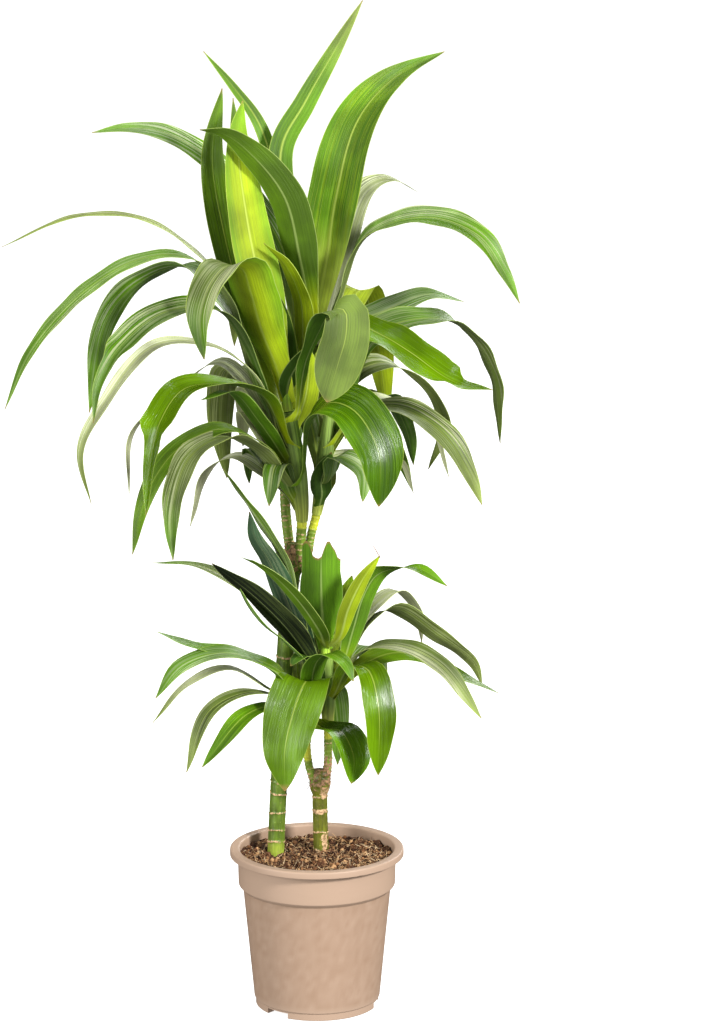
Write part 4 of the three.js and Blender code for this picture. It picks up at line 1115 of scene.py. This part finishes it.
def make_dead_roots():
    """Dry brown rootlets and torn bark round the fork of each cane."""
    shades = [linear(code) for code in ROOT_SHADES]
    builder = Builder()
    for name, count in ROOT_COUNTS.items():
        cane = CANES[name]
        path = Path(cane["path"])
        top = cane["path"][-1][2]
        out = cane["radius"] + 1.8
        for _ in range(count):
            height = rng.uniform(cane["bark_above"], top - 2)
            centre, _ = path.at(path.share_at(np.array([height])))
            angle = rng.uniform(0, 2 * PI)
            start = centre[0] + np.array([out * math.cos(angle), out * math.sin(angle), 0])
            heading = (math.cos(angle) * 0.7, math.sin(angle) * 0.7, rng.uniform(-1.2, 0.6))
            strand(builder, start, heading, rng.uniform(2, 7), rng.uniform(0.2, 0.5), 1.6,
                   tint=rng.choice(shades))
    settle(builder.make("dead_roots", fibre_material(), sharp=ROUNDED), "cane")


# ---- leaves
def outline(share, width, foot=BASE_WIDTH, widest=WIDEST, blunt=0, crease=UNCREASED):
    """Width of the blade at a share of its length."""
    rise = smooth(0, widest, share)
    past = np.clip((share - widest) / (1 - widest), 0, 1)
    shape = (foot + (1 - foot) * rise) * (1 - past ** TIP_TAPER) ** TIP_ROUND
    tail = 1 - (1 - TAIL) * smooth(crease - CREASE_HALF, crease + CREASE_HALF, share)
    return np.maximum(TIP_WIDTH, width * tail * np.where(past > 0, np.maximum(shape, blunt), shape))


def midrib(shoot, root, points, collared):
    """The leaf's midrib, from inside its shoot to its tip."""
    axis = Path(shoot["path"])
    core = axis.at(axis.share_at(np.array([root])))[0][0]
    first = np.array(points[0], float) - core
    first[2] = 0
    first /= np.linalg.norm(first)
    stops = [core + first * (ROOT_OUT if collared else 0)]
    if collared:
        stops.append(core + first * COLLAR_OUT + np.array([0, 0, COLLAR_UP]))
    return Path([*stops, *points])


def bite(columns, look):
    """How far each column of the blade stops short of the tip, where the leaf was bitten or cut."""
    if look == "bitten":
        ragged = 0.012 * np.sin(23 * columns) + 0.008 * np.sin(41 * columns + 1)
        notch = BITE_DEPTH * np.exp(-((columns - BITE_AT) / BITE_HALF) ** 4)
        shoulder = SHOULDER_DROP * smooth(0.3, 1.1, columns) + 0.04 * smooth(-0.7, -1.0, columns)
        return np.clip(notch + shoulder + ragged, 0, 1)
    if look == "cut":
        return CUT_SLANT * (1 + columns)
    return np.zeros_like(columns)


def blade_axes(curve, shares, lean, roll_root, roll_tip):
    """Points of the midrib, with the directions across the blade and out of its upper face."""
    centre, along = curve.at(shares)
    away = math.radians(lean)
    level = np.array([-math.sin(away), math.cos(away), 0])
    side = level - along * (along @ level)[..., None]
    side /= np.linalg.norm(side, axis=-1, keepdims=True)
    roll = np.radians(roll_root + (roll_tip - roll_root) * shares)[..., None]
    side = side * np.cos(roll) + np.cross(along, side) * np.sin(roll)
    return centre, side, np.cross(along, side)


def blade_lift(columns, shares, reach, width, half, crease, swell):
    """How far the folded, waved sides of the blade rise over its midrib."""
    channel = half * FOLD * (1 - 0.5 * shares) * (SHALLOW if width < FLAT_UNDER else 1)
    pinch = np.exp(-((shares - crease) / CREASE_HALF) ** 2)
    lift = channel * (1 + 2 * pinch) * np.abs(columns) ** CHANNEL_POWER
    length = rng.uniform(*WAVE_LENGTHS)
    swell = rng.uniform(0.5, 1.0) * swell * width
    for edge, phase in ((columns > 0, rng.uniform(0, 2 * PI)), (columns < 0, rng.uniform(0, 2 * PI))):
        wave = np.sin(2 * PI * reach / length + phase) * np.abs(columns) ** 2.5 * edge
        lift = lift + swell * wave * smooth(0.1, 0.35, shares) * smooth(1.0, 0.8, shares)
    return lift


def leaf_faces(rows, columns):
    """Faces of a thin closed leaf: its upper side, its underside and the strip round its edge."""
    under = rows * columns
    faces = grid_faces(rows, columns)
    faces += [face[::-1] for face in grid_faces(rows, columns, start=under)]
    for i in range(rows - 1):
        a, b = i * columns, i * columns + columns - 1
        faces.append([a, a + columns, a + columns + under, a + under])
        faces.append([b, b + under, b + columns + under, b + columns])
    for j in range(columns - 1):
        a, b = j, (rows - 1) * columns + j
        faces.append([a, a + under, a + 1 + under, a + 1])
        faces.append([b, b + 1, b + 1 + under, b + under])
    return faces


def both_sides(upper, lower, parts=1):
    """Values of a leaf's upper side and underside, in the order of its points."""
    return np.concatenate([np.reshape(upper, (-1, parts)), np.reshape(lower, (-1, parts))]).squeeze()


def leaf_tints(look, columns, shares, collared, lit_side):
    """Colours of the blade, its stripes and its midrib, on the upper side and on the underside, with one
    half painted lighter and the other darker as painted light and shade.
    """
    foot, blade, tip, stripe, under = (linear(code) for code in LOOKS[look][:5])
    share = shares[..., None]
    top = blend(blend(foot, blade, smooth(0.03, 0.38, share)), tip, smooth(0.7, 0.97, share))
    bottom = blend(foot, under, smooth(0.02, 0.25, share))
    green_edge = smooth(0.3, 1.0, np.abs(columns))[None, :, None] * smooth(0.1, 0.4, share)
    if look in GREEN_EDGED_ABOVE:
        top = blend(top, linear(FRESH), green_edge)
    if look in GREEN_EDGED_BELOW:
        bottom = blend(bottom, linear(FRESH), green_edge)
    # painted light and shade: the half on the lit side is made lighter, the other half darker
    sides = np.clip(3 * columns, -1, 1)[None, :, None]
    lit_halves = 1 + LIT_HALF_TONE * lit_side * sides * smooth(0.05, 0.3, share)
    top, bottom = top * lit_halves, bottom * lit_halves
    top_stripe = blend(top, stripe, smooth(0.08, 0.3, share))
    bottom_stripe = blend(bottom, stripe, 0.6 if collared else 0.1)
    top_rib = blend(top, linear(RIB_TONE), 0.5 if collared else 0.75)
    bottom_rib = blend(bottom, linear(RIB_TONE_UNDER), 0.5)
    return {
        "tint": both_sides(top, bottom, 3),
        "stripe_tint": both_sides(top_stripe, bottom_stripe, 3),
        "rib_tint": both_sides(top_rib, bottom_rib, 3),
    }


def leaf_patterns(look, columns, shares, end, collared, lit_side):
    """Strength of the stripes and the midrib, width of the midrib, and dryness of the end."""
    stripes = LOOKS[look][5]
    streaked = 1
    # strong pale stripes, partly painted sheen, gather on the painted lit half
    if stripes > STREAKED_FROM:
        streaked = 0.4 + 0.6 * smooth(-0.15, 0.35, lit_side * columns)[None]
    streaked = stripes * streaked * smooth(0.05, 0.25, shares) * (1 - 0.7 * smooth(0.75, 0.97, shares))
    dry_from, dryness = DRY_ENDS.get(look, DRY_TIP)
    dry = smooth(dry_from, 1.0, end) * dryness
    rib = (0.8 - 0.6 * stripes) * smooth(1.0, 0.6, shares)
    rib_mm = 0.5 + (1.2 if collared else 2.6) * (1 - shares)
    return {
        "rib_mm": both_sides(rib_mm, rib_mm),
        "rib": both_sides(rib, rib),
        "stripes": both_sides(streaked, streaked * (1 if collared else 0.2)),
        "dry": both_sides(dry, dry),
    }


def add_leaf(builder, shoot, leaf, collared, seed):
    look, root, lean, width, roll_root, roll_tip, stops = leaf[:7]
    # which half of the leaf is painted as the lit one
    lit_side = rng.choice((-1, 1))
    traits = leaf[7] if len(leaf) > 7 else {}
    curve = midrib(shoot, root, stops, collared)
    count = int(curve.length / LEAF_ROW) + 6
    rows = 1 - (1 - np.linspace(0, 1, count)) ** ROW_CROWDING
    columns = np.linspace(-1, 1, 2 * ACROSS + 1)
    shares = rows[:, None] * (1 - bite(columns, look))[None]
    reach = shares * curve.length
    centre, side, up = blade_axes(curve, shares, lean, roll_root, roll_tip)

    full = outline(shares, width, **traits)
    full = np.maximum(full, CLASP_WIDTH * width * (1 - reach / CLASP)) if collared else full
    half = full / 2
    flat = half * columns
    swell = WAVE_SWELL if collared else YOUNG_SWELL
    lift = blade_lift(columns, shares, reach, width, half, traits.get("crease", UNCREASED), swell)
    clasp = smooth(CLASP, 0, reach)
    curl = clasp / (shoot["girth"][1] + CLASP_CLEAR) * (1 if collared else 0.6) + 1e-6
    wrapped = np.clip(flat * curl, -MOST_WRAP, MOST_WRAP)
    place = centre + side * (np.sin(wrapped) / curl)[..., None]
    lift = lift * (1 - clasp) + (1 - np.cos(wrapped)) / curl
    place = place + up * (lift + BLADE / 2)[..., None]
    thick = THIN / 2 * np.minimum(1, 0.35 + 2 * half / width)[..., None]

    end = rows[:, None] * np.ones_like(shares) if look == "bitten" else shares
    edge = half - np.abs(flat)
    builder.add(both_sides(place + up * thick, place - up * thick, 3), leaf_faces(*shares.shape),
                across_mm=both_sides(flat, flat), along_mm=both_sides(reach, reach),
                edge_mm=both_sides(edge, edge), under=np.repeat([0.0, 1.0], shares.size),
                seed=seed, gloss=LOOKS[look][6], **leaf_tints(look, columns, shares, collared, lit_side),
                **leaf_patterns(look, columns, shares, end, collared, lit_side))


def add_core(builder, shoot, low, high, girth, foot, head):
    """The rolled leaf bases that clothe a shoot between two heights."""
    heights = np.linspace(low, high, int((high - low) / 3) + 2)
    share = (heights - low) / (high - low)
    ends = np.where(share < 0.5, girth[0], girth[2])
    radii = girth[1] + (ends - girth[1]) * np.abs(2 * share - 1) ** 1.6
    radii = np.repeat(radii[:, None], TUBE_SIDES, axis=1)
    tint = blend(linear(foot), linear(head), smooth(0, 0.4, share)[:, None]).repeat(TUBE_SIDES, axis=0)
    builder.add(tube_points(Path(shoot["path"]), heights, radii), tube_faces(len(heights)),
                tint=tint, stripe_tint=tint * 0.7, rib_tint=tint,
                across_mm=np.tile(TURNS * girth[1], len(heights)),
                along_mm=np.repeat(heights, TUBE_SIDES), edge_mm=9.0, rib_mm=1.0, rib=0.0, dry=0.0,
                under=0.4, seed=low, stripes=0.6, gloss=0.4)


def add_hair(builder, start, heading, length):
    """A dry brown hair at the tip of a leaf."""
    brown = linear("6a4024")
    strand(builder, start, heading, length, 0.55, 0.5, tint=brown, stripe_tint=brown, rib_tint=brown,
           across_mm=0, along_mm=0, edge_mm=9, rib_mm=1, rib=0, dry=0.3, under=0, seed=0, stripes=0,
           gloss=0.6)


def make_heads(surface):
    """The leaves of each shoot, and on some shoots its heart of young leaves."""
    for name, shoot in SHOOTS.items():
        sheath_foot, sheath_top = shoot["sheath"]
        builder = Builder()
        add_core(builder, shoot, sheath_foot, sheath_top, shoot["girth"], "c0cc58", "84a048")
        for i, leaf in enumerate(LEAVES[name]):
            add_leaf(builder, shoot, leaf, True, 11.3 * i + sheath_foot)
        settle(builder.make(f"{name}_foliage", surface), "leaf", f"{name}_leaves")
        if name not in HEARTS:
            continue
        young = Builder()
        core_top = shoot["path"][-1][2] - 1
        add_core(young, shoot, sheath_top + 0.9, core_top, YOUNG_CORE, "b8d04c", "9cc43c")
        for i, leaf in enumerate(HEARTS[name]):
            add_leaf(young, shoot, leaf, False, 7.7 * i + sheath_top)
        for start, heading, length in DRY_HAIRS.get(name, []):
            add_hair(young, start, heading, length)
        settle(young.make(f"{name}_young_leaves", surface), "heart", f"{name}_heart")


# ---- floor, light and camera
def make_floor():
    """A white floor that the camera sees, and that throws no light back on the plant."""
    surface = Surface("pale_floor", roughness=0.9, specular=0.1)
    mottle = surface.noise(surface.place(), 0.6, 2.0)
    dark, light = FLOOR_GREY
    surface.paint(surface.mix(mottle, (dark, dark, dark, 1), (light, light, light, 1)))
    surface.shader.inputs["Emission Color"].default_value = WHITE
    surface.shader.inputs["Emission Strength"].default_value = FLOOR_GLOW
    mesh = bpy.data.meshes.new("floor")
    signs = ((-1, -1), (1, -1), (1, 1), (-1, 1))
    corners = [(x * FLOOR_REACH, y * FLOOR_REACH, 0) for x, y in signs]
    mesh.from_pydata(corners, [], [(0, 1, 2, 3)])
    mesh.materials.append(surface.material)
    floor = bpy.data.objects.new("floor", mesh)
    floor.visible_diffuse = False
    floor.visible_glossy = False
    bpy.context.scene.collection.objects.link(floor)


def softbox(name, place, size, power):
    lamp = bpy.data.lights.new(name, "AREA")
    lamp.shape = "SQUARE"
    lamp.size = size
    lamp.energy = power
    box = bpy.data.objects.new(name, lamp)
    box.location = place
    box.rotation_euler = (Vector(LIT_MIDDLE) - Vector(place)).to_track_quat("-Z", "Y").to_euler()
    box.visible_camera = False
    bpy.context.scene.collection.objects.link(box)


def light_studio():
    """Soft light from all round, four softboxes, and a background that is seen as white."""
    world = bpy.data.worlds.new("studio")
    world.use_nodes = True
    tree = world.node_tree
    around = tree.nodes["Background"]
    around.inputs["Color"].default_value = WHITE
    around.inputs["Strength"].default_value = WORLD_LIGHT
    seen = tree.nodes.new("ShaderNodeBackground")
    seen.inputs["Color"].default_value = WHITE
    either = tree.nodes.new("ShaderNodeMixShader")
    rays = tree.nodes.new("ShaderNodeLightPath")
    tree.links.new(rays.outputs["Is Camera Ray"], either.inputs[0])
    tree.links.new(around.outputs[0], either.inputs[1])
    tree.links.new(seen.outputs[0], either.inputs[2])
    tree.links.new(either.outputs[0], tree.nodes["World Output"].inputs["Surface"])
    world.cycles_visibility.glossy = False
    bpy.context.scene.world = world
    for name, (place, size, power) in SOFTBOXES.items():
        softbox(name, place, size, power)


def place_camera():
    lens = bpy.data.cameras.new("camera")
    lens.sensor_fit = "VERTICAL"
    lens.sensor_height = SENSOR_HEIGHT
    lens.lens = SENSOR_HEIGHT * FOCAL_PIXELS / IMAGE_HEIGHT
    camera = bpy.data.objects.new("camera", lens)
    camera.location = CAMERA_PLACE
    camera.rotation_euler = (math.radians(90 - CAMERA_PITCH), 0, 0)
    bpy.context.scene.collection.objects.link(camera)
    bpy.context.scene.camera = camera


bpy.context.scene.view_settings.view_transform = "Standard"
place_camera()
light_studio()
make_floor()
make_pot()
make_soil_bed()
make_crumbs()
make_soil_fibres()
for cane_name, cane_shape in CANES.items():
    make_cane(cane_name, cane_shape)
for shoot_name, shoot_shape in SHOOTS.items():
    make_stem(shoot_name, shoot_shape)
make_dead_roots()
make_heads(leaf_material())
